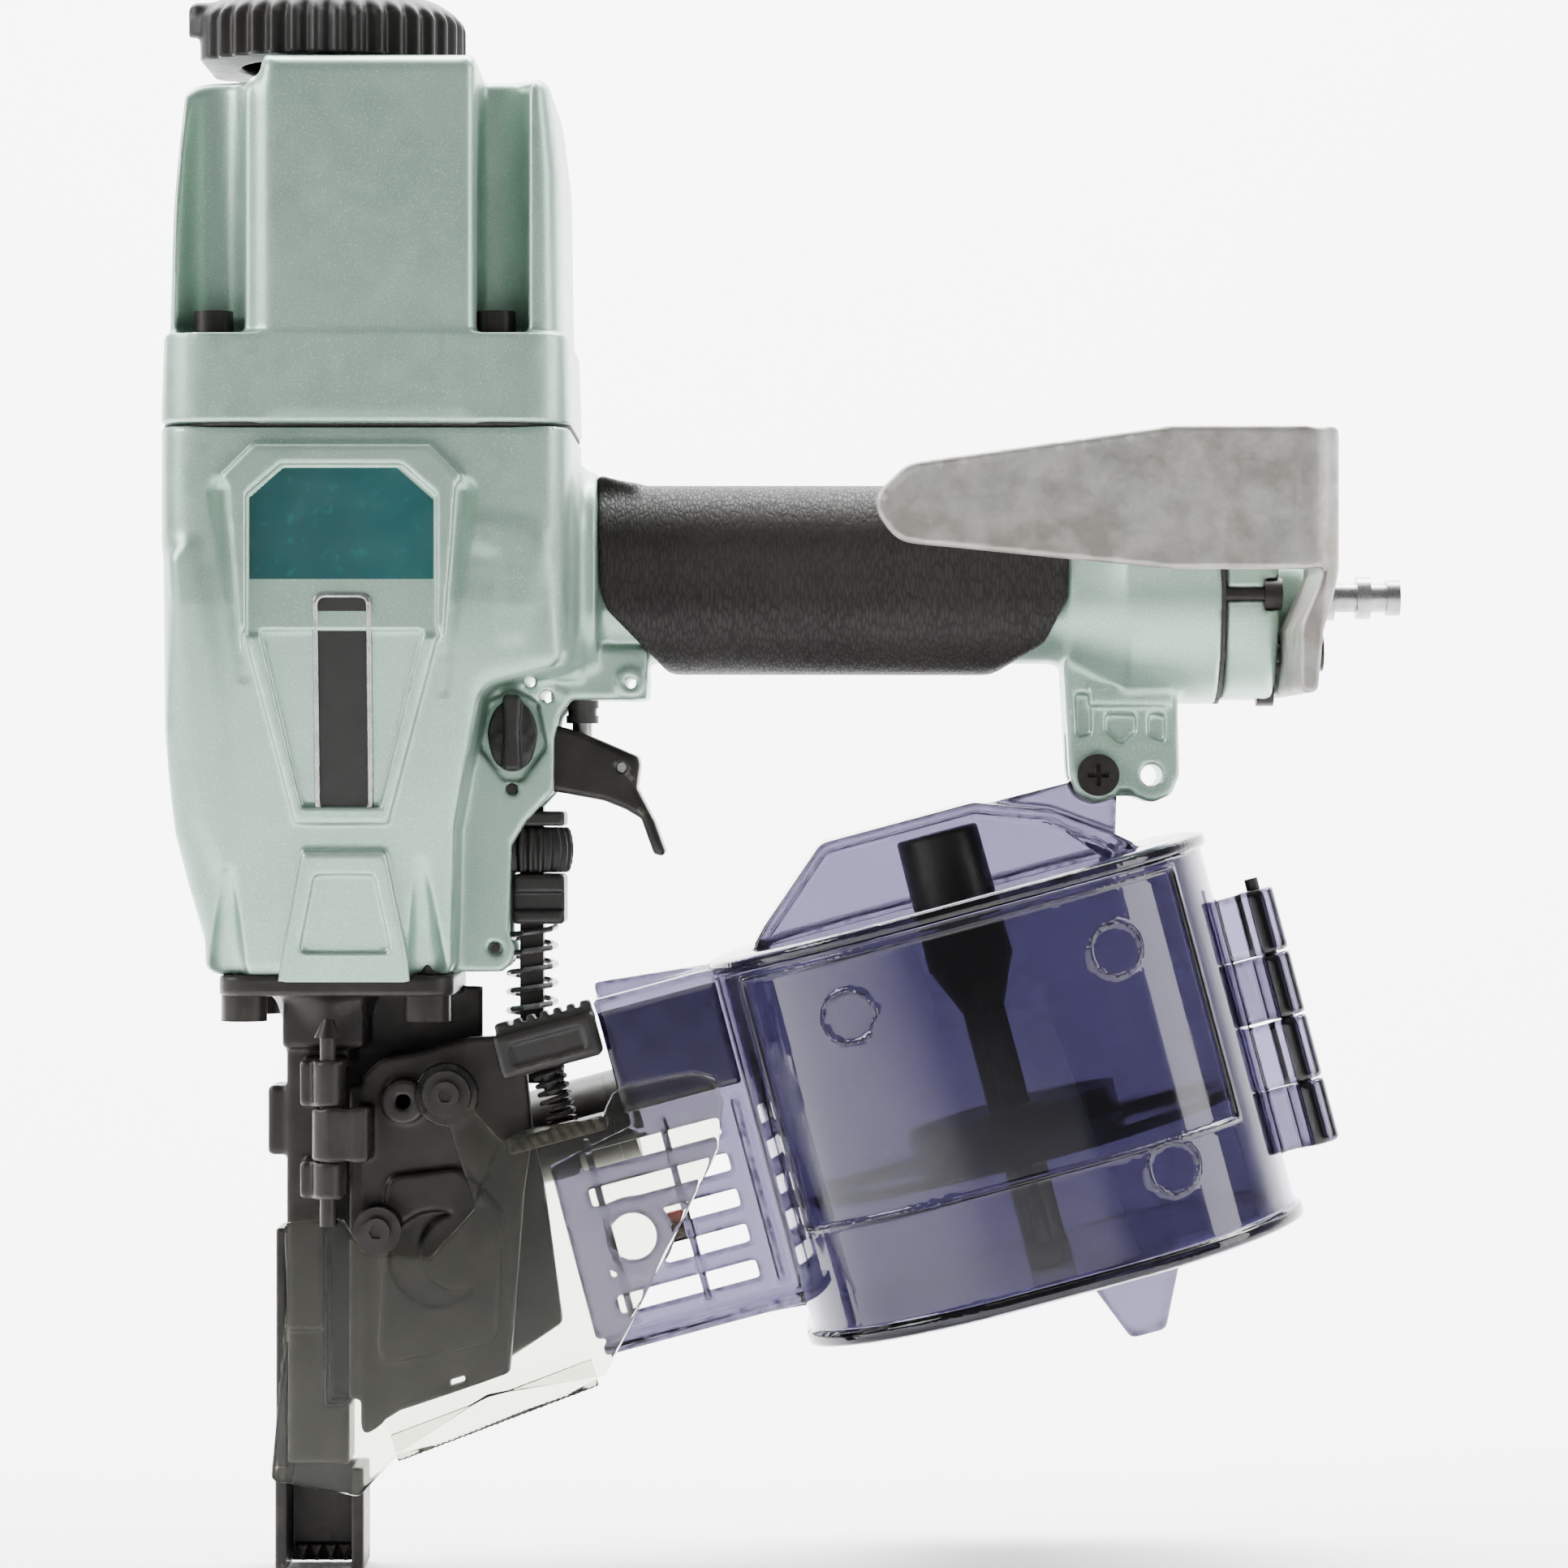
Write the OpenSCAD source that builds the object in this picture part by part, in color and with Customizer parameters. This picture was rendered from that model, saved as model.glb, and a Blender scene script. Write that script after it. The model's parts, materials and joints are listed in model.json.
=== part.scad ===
// Pneumatic coil nailer with a tilted canister magazine.
// Millimetres. Origin: driver axis at the muzzle. +Z runs up the driver, +X towards the handle's end,
// and -Y is the side on which the nose door and the magazine cover open.

/* [Nose] */
// Height of the nose, from the muzzle to the underside of its flange
nose_h = 104; // [100:1:108]
// Thickness of the nose flange
flange_t = 4.5; // [4:0.5:6]
// Diameter of the driver blade
driver_d = 7.8; // [6:0.2:8.4]
// How far the contact tip reaches below the muzzle
contact_drop = 23.4; // [18:0.2:26]
// Travel of the push lever
contact_travel = 11; // [8:1:12]
// Thickness of the clear nose shield
shield_t = 1.6; // [1:0.2:2]

/* [Body] */
// Height of the main housing, from the flange to the seam
housing_h = 118.5; // [112:0.5:142]
// Height of the head housing above the seam
head_h = 81; // [76:1:98]
// Reach of the body to the left of the driver axis
body_left = 34.4; // [33:0.2:38]
// Reach of the body to the right of the driver axis
body_right = 56; // [54:1:60]
// Width of the body across Y
body_w = 76; // [74:1:84]

/* [Cylinder] */
// Diameter of the piston
piston_d = 50; // [42:0.5:50]
// Wall of the cylinder sleeve
sleeve_wall = 2.5; // [2:0.5:3]
// Stroke of the piston and driver
stroke = 90; // [80:1:92]
// Height of the bumper
bumper_h = 30; // [24:1:31]

/* [Handle] */
// Height of the grip's section
grip_h = 42; // [38:1:46]
// Width of the grip's section
grip_w = 38; // [34:1:44]
// Thickness of the rubber grip
grip_t = 2.5; // [2:0.5:3.5]
// Length of the grip
grip_l = 104; // [88:1:124]
// Radius of the bulb behind the grip
bulb_r = 23.5; // [21:0.5:26]
// Clear width between the rafter hook and the handle
hook_gap = 38; // [30:1:46]

/* [Magazine] */
// Tilt of the feed path above the level
feed_tilt = 15; // [15:0.5:16]
// Length of the canister along the feed path
canister_l = 111; // [92:1:112]
// Depth of the canister across Y
canister_w = 112; // [96:1:130]
// Height of the canister
canister_h = 88; // [80:1:90]
// Wall of the moulded magazine
magazine_wall = 2.5; // [2:0.5:3]
// Height of the nail tray above the canister's floor
tray_rest = 25; // [12:1:40]

/* [Hidden] */

$fn = 64;

// Clearances
gap = 0.3;
run = 0.05;
fit = 0.1;
cut = 1;

// Levels on the driver axis
flange_z = nose_h;
housing_z = flange_z + flange_t;
seam_z = housing_z + housing_h;
gasket_t = 0.8;
head_z = seam_z + gasket_t;
head_top = seam_z + head_h;
bumper_z = housing_z + 2;
bumper_top = bumper_z + bumper_h;
piston_h = 14;
piston_z = bumper_top + stroke;
piston_r = piston_d / 2 - run;
sleeve_r = piston_d / 2;
sleeve_outer = sleeve_r + sleeve_wall;
sleeve_z = bumper_top - 3;
sleeve_top = piston_z + piston_h + 9;
driver_r = driver_d / 2;
guide_r = driver_r + gap;
driver_tip = stroke - 4;

// Body
body_r = 14;
bolt_x = [12.4 - body_left, body_right - 17];
bolt_y = body_w / 2 - 8;
ledge_z = seam_z + 20;
m5 = 2.5;
m6 = 3;

// Head valve
valve_r = sleeve_outer + 1;
valve_bore = valve_r + fit;
valve_h = 10;
valve_z = sleeve_top + 2;
valve_travel = 5;
stem_r = 11;

// Exhaust deflector
deflector_r = 31;
deflector_z = head_top + gap;
deflector_h = 14;
rib_count = 40;

// Handle
handle_z = seam_z - 32;
handle_x = 60;
grip_x = handle_x + 0.5;
grip_end = grip_x + grip_l;
bulb_x = grip_end - 3;
bulb_l = 35;
bulb_z = handle_z - 3.7;
end_x = bulb_x + bulb_l;
end_gasket_t = 0.8;
cap_x = end_x + end_gasket_t;
cap_l = 12.5;
cap_end = cap_x + cap_l;
air_r = 12;
plug_z = bulb_z;

// Bracket under the bulb
bracket_x = bulb_x + 8.6;
bracket_z = bulb_z - 39.3;
free_hole_x = bracket_x + 11.9;
bracket_w = 22;
lug_w = 6;

// Rafter hook
hook_t = 3.6;
hook_y = -grip_w / 2 - hook_gap - hook_t;
hook_far = 15;
hook_x = cap_end + 5.5;

// Trigger group, from the selector's axis
pivot = [41.8, handle_z - 34];
shaft_r = 3;
knob_r = 8.6;
plate_in = 9.5;
plate_out = 14;
trigger_w = 17.4;
valve_x = pivot[0] + 14.7;
valve_body_r = 7;
trigger_wall = 1.8;

// Push lever
lever_x = pivot[0] + 3.6;
lever_top = pivot[1] - contact_travel - 5;
wheel_r = 8.8;
wheel_z = pivot[1] - 30.5;
wheel_h = 10;
shelf_z = nose_h - 7;
guide_low = wheel_z - gap - 11;
guide_pins_at = [[pivot[0] - 0.2, pivot[1] - 12.1], [pivot[0] - 3.9, housing_z + 5.5]];
cheek_holes_at = [[pivot[0] + 3.7, pivot[1] + 11.5], [pivot[0] + 25.8, pivot[1] + 11.2]];

// Nose
door_in = 7;
door_t = 5;
pin_x = 2.2;
pin_y = -24.5;
pin_r = 1.75;
pin_low = nose_h - 50;
pin_high = nose_h - 10;
shield_y = -20;
feed_wall = 6.2;
muzzle_wall = 13;
guide_wall = guide_r + 1.3;
slot_top = nose_h - 16;
shield_screws_at = [[27.7, 82.4], [12.7, 52.8]];
latch_u = 70.5;
latch_y = -14.5;
latch_v = 59.3;

// Magazine, in the feed frame
mag_u = 111;
mag_y = canister_w / 2 - 50;
mag_mid = mag_u + canister_l / 2;
mag_right = mag_u + canister_l;
mag_near = mag_y - canister_w / 2;
mag_far = mag_y + canister_w / 2;
mag_v = -1;
mag_top = mag_v + canister_h;
mag_r = 44;
split_y = -7;
hinge_u = mag_right + 8.5;
hinge_r = 4.2;
hinge_pin_r = 1.5;
post_r = 5;
tray_v = mag_v + magazine_wall + tray_rest;
neck_u = 64;
hat_h = 18.5;

// Feeder, in the feed frame
feeder_y = 22.5;
feeder_v = 56;
feeder_r = 10.5;
feeder_bore = 7.5;
feeder_u = 46;
feeder_l = 34;
feed_travel = 12;
pawl_u = feeder_u - feed_travel - 4.5;
pawl_y = feeder_y - 8;

function to_u(x, z) = x * cos(feed_tilt) + z * sin(feed_tilt);
function to_v(x, z) = z * cos(feed_tilt) - x * sin(feed_tilt);
lug_u = to_u(bracket_x, bracket_z);
lug_v = to_v(bracket_x, bracket_z);

GREEN = [0.62, 0.74, 0.69];
BLACK = [0.16, 0.15, 0.14];
STEEL = [0.66, 0.66, 0.67];
BRASS = [0.78, 0.64, 0.33];
RUBBER = [0.19, 0.17, 0.16];
TINT = [0.36, 0.34, 0.62, 0.6];
CLEAR = [0.75, 0.78, 0.75, 0.5];

// Lays a drawing of X and Z over the stretch y0 to y1
module along_y(y0, y1) {
    translate([0, y1, 0]) rotate([90, 0, 0]) linear_extrude(y1 - y0) children();
}

// Lays a drawing of Y and Z over the stretch x0 to x1
module along_x(x0, x1) {
    translate([x0, 0, 0]) rotate([90, 0, 90]) linear_extrude(x1 - x0) children();
}

module along_z(z0, z1) {
    translate([0, 0, z0]) linear_extrude(z1 - z0) children();
}

module rod_x(x0, x1, y, z, r) {
    translate([x0, y, z]) rotate([0, 90, 0]) cylinder(h = x1 - x0, r = r);
}

module rod_y(x, z, y0, y1, r) {
    translate([x, y1, z]) rotate([90, 0, 0]) cylinder(h = y1 - y0, r = r);
}

module rod_z(x, y, z0, z1, r) {
    translate([x, y, z0]) cylinder(h = z1 - z0, r = r);
}

module box(low, high) {
    translate(low) cube(high - low);
}

// Rectangle with round corners, from true arcs
module round_rect(low, high, r) {
    translate([low[0] + r, low[1]]) square([high[0] - low[0] - 2 * r, high[1] - low[1]]);
    translate([low[0], low[1] + r]) square([high[0] - low[0], high[1] - low[1] - 2 * r]);
    for (x = [low[0] + r, high[0] - r], y = [low[1] + r, high[1] - r]) translate([x, y]) circle(r);
}

// Socket-head screw with its head's underside at the origin and its shank along -Z
module socket_screw(r, length, head_r, head_h) {
    difference() {
        union() {
            cylinder(h = head_h, r = head_r);
            translate([0, 0, -length]) cylinder(h = length + 0.01, r = r);
        }
        translate([0, 0, head_h / 2]) cylinder(h = head_h, r = head_r * 0.55, $fn = 6);
    }
}

// Helical spring standing on the origin
module coil_spring(r, wire, h, turns) {
    steps = turns * 10;
    sides = 6;
    points = [
        for (i = [0 : steps], j = [0 : sides - 1])
            let (a = 36 * i, b = 60 * j, q = r + wire * cos(b))
                [q * cos(a), q * sin(a), wire + (h - 2 * wire) * i / steps + wire * sin(b)]
    ];
    walls = [
        for (i = [0 : steps - 1], j = [0 : sides - 1])
            let (k = (j + 1) % sides, p = i * sides, q = p + sides)
                [p + j, q + j, q + k, p + k]
    ];
    first = [for (j = [0 : sides - 1]) j];
    last = [for (j = [sides - 1 : -1 : 0]) steps * sides + j];
    polyhedron(points, concat(walls, [first, last]), convexity = 6);
}

// Turns the feed frame, whose X is along the nail strip, into the tool's frame
module feed_frame() {
    rotate([0, -feed_tilt, 0]) children();
}

module at_pivot() {
    translate([pivot[0], 0, pivot[1]]) children();
}

// ---------------------------------------------------------------- Body

// Plan of the body at the seam
module body_plan(inset) {
    round_rect(
        [-body_left + inset, -body_w / 2 + inset],
        [body_right - inset, body_w / 2 - inset],
        body_r
    );
}

// Air space beside the cylinder
module side_chamber(z0, z1) {
    along_z(z0, z1) round_rect([0, -22], [body_right - 8, 22], 8);
}

module head_bolt_spots() {
    for (x = bolt_x, y = [-bolt_y, bolt_y]) translate([x, y, 0]) children();
}

module head_housing() {
    color(GREEN) difference() {
        intersection() {
            along_z(head_z, head_top) body_plan(0.3);
            along_y(-body_w, body_w) polygon([
                [-body_left, head_z], [-body_left + 1.5, head_z + 20], [-body_left + 3, head_z + 46],
                [-body_left + 5.5, head_top - 8], [-body_left + 10, head_top - 1.5],
                [-body_left + 16, head_top], [body_right - 14, head_top], [body_right - 8.5, head_top - 3],
                [body_right - 6, head_top - 8], [body_right - 2.3, head_top - 26],
                [body_right - 1.5, head_z + 26], [body_right, head_z]
            ]);
            along_x(-body_left, body_right) polygon([
                [-body_w / 2, head_z], [-body_w / 2, head_top - 7], [-body_w / 2 + 2, head_top - 2],
                [-body_w / 2 + 8, head_top], [body_w / 2 - 8, head_top], [body_w / 2 - 2, head_top - 2],
                [body_w / 2, head_top - 7], [body_w / 2, head_z]
            ]);
        }
        // Open channels over the bolts
        for (x = bolt_x, y = [-1, 1]) {
            rod_z(x, y * bolt_y, ledge_z, head_top + cut, 5.6);
            along_z(ledge_z, head_top + cut) translate([x - 5.6, y > 0 ? bolt_y : -body_w])
                square([11.2, body_w - bolt_y]);
        }
        head_bolt_spots() translate([0, 0, head_z - cut]) cylinder(h = head_h, r = m5 + fit);
        // Head valve bore, stem bore and exhaust outlet
        rod_z(0, 0, head_z - cut, valve_z + valve_h + valve_travel + 1, valve_bore);
        rod_z(0, 0, head_z, head_top - 12, 17.5);
        rod_z(0, 0, head_z, head_top - 4, stem_r + fit);
        for (a = [0 : 60 : 300]) rotate(a) rod_z(7.5, 0, head_top - 14, head_top + cut, 2.6);
        rod_z(0, 0, head_top - 14, head_top + cut, m5 + fit);
        side_chamber(head_z - cut, head_z + 24);
    }
}

module head_gasket() {
    color(BLACK) difference() {
        along_z(seam_z + 0.02, head_z - 0.02) body_plan(1);
        rod_z(0, 0, seam_z - cut, head_z + cut, sleeve_outer + 3);
        side_chamber(seam_z - cut, head_z + cut);
        head_bolt_spots() translate([0, 0, seam_z - cut]) cylinder(h = 3, r = m5 + fit);
    }
}

module exhaust_deflector() {
    color(BLACK) difference() {
        union() {
            rod_z(0, 0, deflector_z, deflector_z + deflector_h - 5, deflector_r - 1);
            translate([0, 0, deflector_z + deflector_h - 5])
                cylinder(h = 5, r1 = deflector_r - 1, r2 = deflector_r - 6);
            for (i = [0 : rib_count - 8]) rotate(3.5 * 360 / rib_count - 180 + (i + 0.5) * 360 / rib_count)
                box([deflector_r - 3, -0.9, deflector_z], [deflector_r, 0.9, deflector_z + deflector_h - 5]);
            along_z(deflector_z + 4, deflector_z + deflector_h - 2)
                polygon([[-28.6, -13], [-28.6, 13], [-10, 20], [-10, -20]]);
        }
        rod_z(0, 0, deflector_z - cut, deflector_z + deflector_h - 5, deflector_r - 12);
        along_z(deflector_z + 6, deflector_z + deflector_h - 4)
            polygon([[-40, -11], [-40, 11], [-8, 15], [-8, -15]]);
        rod_z(0, 0, deflector_z - cut, deflector_z + deflector_h + cut, m5 + run);
        rod_z(0, 0, deflector_z + deflector_h - 3, deflector_z + deflector_h + cut, 6.5);
    }
}

module deflector_washer() {
    color(STEEL) difference() {
        rod_z(0, 0, deflector_z + deflector_h - 2.7, deflector_z + deflector_h - 1.7, 6);
        rod_z(0, 0, deflector_z, deflector_z + deflector_h, m5 + fit);
    }
}

module deflector_screw() {
    color(STEEL) difference() {
        union() {
            rod_z(0, 0, head_top - 13, deflector_z + deflector_h - 1.6, m5);
            rod_z(0, 0, deflector_z + deflector_h - 1.65, deflector_z + deflector_h + 1.5, 4.6);
        }
        rod_z(0, 0, deflector_z + deflector_h - 0.5, deflector_z + deflector_h + 3, 1.6);
    }
}

module head_bolts() {
    color(BLACK) head_bolt_spots() translate([0, 0, ledge_z + 0.02]) socket_screw(m5, 34, 4.25, 5);
}

module head_valve() {
    color(BLACK) difference() {
        union() {
            rod_z(0, 0, valve_z, valve_z + valve_h, valve_r);
            rod_z(0, 0, valve_z, valve_z + valve_h + 12, stem_r);
        }
        rod_z(0, 0, valve_z - cut, valve_z + 3, sleeve_r - 3);
        rod_z(0, 0, valve_z - cut, head_top, stem_r - 3);
        translate([0, 0, valve_z + valve_h / 2]) rotate_extrude() translate([valve_r, 0]) circle(1.2);
    }
}

module head_valve_seal() {
    color(RUBBER) difference() {
        rod_z(0, 0, sleeve_top + 0.05, valve_z - 0.02, sleeve_outer);
        rod_z(0, 0, sleeve_top - cut, valve_z + cut, sleeve_r - 3);
    }
}

module head_valve_spring() {
    color(STEEL) translate([0, 0, valve_z + valve_h + 0.1])
        coil_spring(14.6, 0.9, head_top - 12.2 - valve_z - valve_h, 5);
}

module cylinder_sleeve() {
    color(STEEL) difference() {
        union() {
            rod_z(0, 0, sleeve_z, sleeve_top, sleeve_outer);
            rod_z(0, 0, sleeve_z + 60, sleeve_z + 64, sleeve_outer + 0.9);
        }
        rod_z(0, 0, sleeve_z - cut, sleeve_top + cut, sleeve_r);
        for (a = [0 : 45 : 315]) rotate(a) rod_x(sleeve_r - 2, sleeve_outer + 2, 0, sleeve_z + 12, 1.5);
        for (z = [4, 50]) translate([0, 0, sleeve_z + z]) rotate_extrude()
            translate([sleeve_outer, 0]) circle(1);
    }
}

module cylinder_seals() {
    color(RUBBER) for (z = [4, 50]) translate([0, 0, sleeve_z + z]) rotate_extrude()
        translate([sleeve_outer + 0.02, 0]) circle(0.95);
}

module piston() {
    color(STEEL) difference() {
        rod_z(0, 0, piston_z, piston_z + piston_h, piston_r);
        rod_z(0, 0, piston_z + 8, piston_z + piston_h + cut, piston_r - 7);
        rod_z(0, 0, piston_z - cut, piston_z + piston_h, driver_r);
        difference() {
            rod_z(0, 0, piston_z + 4, piston_z + 7, piston_r + cut);
            rod_z(0, 0, piston_z + 3, piston_z + 8, piston_r - 2);
        }
    }
}

module piston_ring() {
    color(RUBBER) difference() {
        rod_z(0, 0, piston_z + 4.05, piston_z + 6.95, piston_r + 0.03);
        rod_z(0, 0, piston_z + 3, piston_z + 8, piston_r - 1.95);
    }
}

module driver_blade() {
    color(STEEL) rod_z(0, 0, driver_tip, piston_z + 10, driver_r - 0.02);
}

module bumper() {
    color(RUBBER) difference() {
        union() {
            rod_z(0, 0, bumper_z, bumper_top - 8, 19);
            rod_z(0, 0, bumper_top - 8.01, bumper_top - 0.05, 17);
        }
        rod_z(0, 0, bumper_z - cut, bumper_top + cut, driver_r + 1.2);
    }
}

// Side view of the lower body
module body_side() {
    polygon([
        [-body_left, seam_z], [-body_left, seam_z - 25], [-body_left + 0.9, seam_z - 29],
        [-body_left + 1.3, seam_z - 65], [-body_left + 4, seam_z - 88], [-body_left + 6.7, seam_z - 99],
        [-24.5, housing_z + 8], [-24.1, housing_z + 0.1], [29.4, housing_z + 0.1], [30.5, pivot[1] - 20],
        [36, pivot[1] + 10], [body_right, handle_z - grip_h / 2 + 2], [body_right, seam_z]
    ]);
}

// Cheek beside the trigger, drawn from the selector's axis
module trigger_cheek() {
    low = housing_z + 0.4 - pivot[1];
    polygon([
        [-18, 15], [-3.4, 15.4], [4.2, 13.5], [9.2, 11], [13.3, 7.8], [10.1, 4], [9, -1], [8.9, -12.7],
        [2.9, -19.1], [-0.3, -24.4], [-0.9, low + 8.5], [0.2, low + 5], [0, low + 2.3],
        [-2.2, low], [-18, low]
    ]);
}

module bracket_side() {
    difference() {
        union() {
            translate([bracket_x, bracket_z]) circle(6.1);
            translate([free_hole_x, bracket_z]) circle(6.1);
            polygon([
                [bracket_x - 6.1, bracket_z], [bracket_x + 6.1, bracket_z], [bracket_x + 4, bracket_z + 11],
                [free_hole_x - 4, bracket_z + 11], [free_hole_x - 4, bracket_z],
                [free_hole_x + 6.1, bracket_z], [free_hole_x + 5.6, bulb_z - 20],
                [bracket_x - 7.5, bulb_z - 20]
            ]);
        }
        translate([free_hole_x, bracket_z]) circle(2.4);
        translate([bracket_x, bracket_z]) circle(m5 + fit);
    }
}

module main_housing() {
    grip_low = handle_z - grip_h / 2;
    color(GREEN) difference() {
        union() {
            intersection() {
                along_z(housing_z, seam_z) body_plan(0);
                along_y(-body_w, body_w) body_side();
                along_x(-body_left - 1, body_right + 1) polygon([
                    [-body_w / 2, seam_z], [-body_w / 2, seam_z - 38], [-27, housing_z],
                    [27, housing_z], [body_w / 2, seam_z - 38], [body_w / 2, seam_z]
                ]);
            }
            // Handle core, its root and the bulb behind the grip
            along_x(body_right - 16, grip_end + 6) round_rect(
                [-grip_w / 2 + grip_t + fit, grip_low + grip_t + fit],
                [grip_w / 2 - grip_t - fit, grip_low + grip_h - grip_t - fit], 14);
            along_x(body_right - 10, handle_x) round_rect(
                [-grip_w / 2 - 2, grip_low - 1], [grip_w / 2 + 2, grip_low + grip_h + 3], 14);
            translate([grip_end + fit, 0, bulb_z]) rotate([0, 90, 0])
                cylinder(h = 12, r1 = bulb_r - 5, r2 = bulb_r);
            rod_x(grip_end + 12, end_x, 0, bulb_z, bulb_r);
            // Block over the trigger, then the cheeks and the bracket
            box([pivot[0] - 2, -plate_out, pivot[1] + 7.5], [pivot[0] + 29.5, plate_out, grip_low + 1]);
            box([24, -plate_out, pivot[1] + 7.5], [pivot[0], plate_out, handle_z]);
            for (y = [-plate_out, plate_in]) along_y(y, y + plate_out - plate_in)
                translate(pivot) trigger_cheek();
            along_y(-bracket_w / 2, bracket_w / 2) bracket_side();
        }
        // Cylinder chamber, bumper seat, driver way
        rod_z(0, 0, sleeve_z - 1, seam_z + cut, sleeve_outer + 1);
        rod_z(0, 0, bumper_z - 0.1, sleeve_z, 19.2);
        rod_z(0, 0, housing_z - cut, seam_z, guide_r + 3);
        side_chamber(seam_z - 46, seam_z + cut);
        // Handle chamber, open into the end cap
        rod_x(body_right - 20, end_x + cut, 0, handle_z - 1, air_r);
        rod_x(grip_end + 8, end_x + cut, 0, bulb_z, bulb_r - 6);
        // Trigger valve bore
        rod_z(valve_x, 0, pivot[1] + 6, handle_z, valve_body_r + run);
        // Room for the trigger, the selector and its shaft, and the guide pins
        rod_y(pivot[0], pivot[1], -40, -plate_out - 0.01, knob_r + 1);
        rod_y(pivot[0], pivot[1], -40, 40, shaft_r + run);
        box([pivot[0] - 9, -plate_in, pivot[1] - 9], [pivot[0] + 20, plate_in, pivot[1] + 7.49]);
        for (p = concat(guide_pins_at, cheek_holes_at)) rod_y(p[0], p[1], -40, 40, 1.2);
        // Head bolts from above, nose bolts from below, end screws
        head_bolt_spots() translate([0, 0, ledge_z - 36]) cylinder(h = 60, r = m5 + fit);
        nose_bolt_spots() translate([0, 0, housing_z - cut]) cylinder(h = 17, r = m6 + fit);
        end_screw_spots() rotate([0, 90, 0]) translate([0, 0, end_x - 14]) cylinder(h = 20, r = 2.1);
        // Slot in the bracket for the magazine's lug
        box([bracket_x - 9, -lug_w / 2 - gap, bracket_z - 9],
            [bracket_x + 5.9, lug_w / 2 + gap, bracket_z + 9]);
        // Seats for the label and the badge
        label_block(0.05);
        badge_block(0.05);
    }
}

// The label sits flat on the body near its top, the badge on the tapered panel below it
module label_block(grow) {
    along_y(-body_w / 2 - 0.4, -body_w / 2 + 0.8) translate([6, seam_z - 21]) polygon([
        [-20 - grow, -12 - grow], [20 + grow, -12 - grow], [20 + grow, 5 + grow], [12 + grow, 12 + grow],
        [-12 - grow, 12 + grow], [-20 - grow, 5 + grow]
    ]);
}

module badge_block(grow) {
    lean = atan((body_w / 2 - 27) / (housing_h - 38));
    translate([6.4, -body_w / 2, seam_z - 38]) rotate([lean, 0, 0]) translate([0, -0.6, 0])
        along_y(0, 1.4) round_rect([-6.3 - grow, -46 - grow], [6.3 + grow, 2 + grow], 1.8);
}

module label_plate() {
    color([0.06, 0.33, 0.33]) label_block(0);
}

module badge_plate() {
    color(BLACK) badge_block(0);
}

module grip_sleeve() {
    low = handle_z - grip_h / 2;
    color(RUBBER) difference() {
        intersection() {
            along_x(grip_x, grip_end - 0.2)
                round_rect([-grip_w / 2, low], [grip_w / 2, low + grip_h], 16);
            along_y(-grip_w, grip_w) polygon([
                [grip_x, low + grip_h], [grip_x, low + 18], [grip_x + 16, low], [grip_end - 18, low],
                [grip_end - 6, low + 6], [grip_end - 1, low + 16], [grip_end - 0.2, low + grip_h]
            ]);
        }
        along_x(grip_x - cut, grip_end + cut) round_rect(
            [-grip_w / 2 + grip_t, low + grip_t], [grip_w / 2 - grip_t, low + grip_h - grip_t], 14 + fit);
    }
}

module end_screw_spots() {
    for (a = [0 : 90 : 270]) translate([0, (bulb_r - 3) * cos(a), bulb_z + (bulb_r - 3) * sin(a)]) children();
}

module end_gasket() {
    color(BLACK) difference() {
        rod_x(end_x + 0.02, cap_x - 0.02, 0, bulb_z, bulb_r);
        rod_x(end_x - cut, cap_x + cut, 0, bulb_z, bulb_r - 6);
        end_screw_spots() rotate([0, 90, 0]) translate([0, 0, end_x - cut]) cylinder(h = 4, r = 2.1);
    }
}

module end_cap() {
    color(GREEN) difference() {
        union() {
            rod_x(cap_x, cap_end - 3, 0, bulb_z, bulb_r);
            translate([cap_end - 3, 0, bulb_z]) rotate([0, 90, 0])
                cylinder(h = 3, r1 = bulb_r, r2 = bulb_r - 2.5);
            rod_x(cap_end - 1, cap_end + 7, 0, plug_z, 9.5);
        }
        rod_x(cap_x - cut, cap_end - 4, 0, bulb_z, bulb_r - 6);
        rod_x(cap_x, cap_end + 8, 0, plug_z, 5 + fit);
        end_screw_spots() rotate([0, 90, 0]) translate([0, 0, cap_x - cut]) cylinder(h = 20, r = 2.1);
        end_screw_spots() rotate([0, 90, 0]) translate([0, 0, cap_end - 4]) cylinder(h = 6, r = 3.7);
        for (y = [-12, 12]) rod_x(cap_x - cut, cap_end + cut, y, bulb_z - 12.5, 2.1);
    }
}

module end_cap_screws() {
    color(BLACK) end_screw_spots() translate([cap_end - 4, 0, 0]) rotate([0, 90, 0])
        socket_screw(2, cap_end - end_x + 6, 3.5, 3.8);
}

module air_filter() {
    color(STEEL) difference() {
        rod_x(cap_x + 0.1, cap_end - 4.1, 0, bulb_z, bulb_r - 6.1);
        rod_x(cap_x - cut, cap_end, 0, bulb_z, 6);
        for (a = [0 : 45 : 315]) rotate([a, 0, 0]) rod_x(cap_x - cut, cap_end, 0, 0, 0.5);
    }
}

module air_plug() {
    x = cap_end + 13.2;
    color(STEEL) difference() {
        union() {
            rod_x(cap_x + 9, x, 0, plug_z, 5);
            rod_x(cap_end + 7.2, cap_end + 11, 0, plug_z, 7.2, $fn = 6);
            rod_x(x - 0.1, x + 14.6, 0, plug_z, 3.2);
            rod_x(x + 5, x + 8, 0, plug_z, 4.7);
            rod_x(x + 11.6, x + 14.6, 0, plug_z, 3.9);
        }
        rod_x(cap_x, x + 20, 0, plug_z, 2.2);
    }
}

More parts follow.
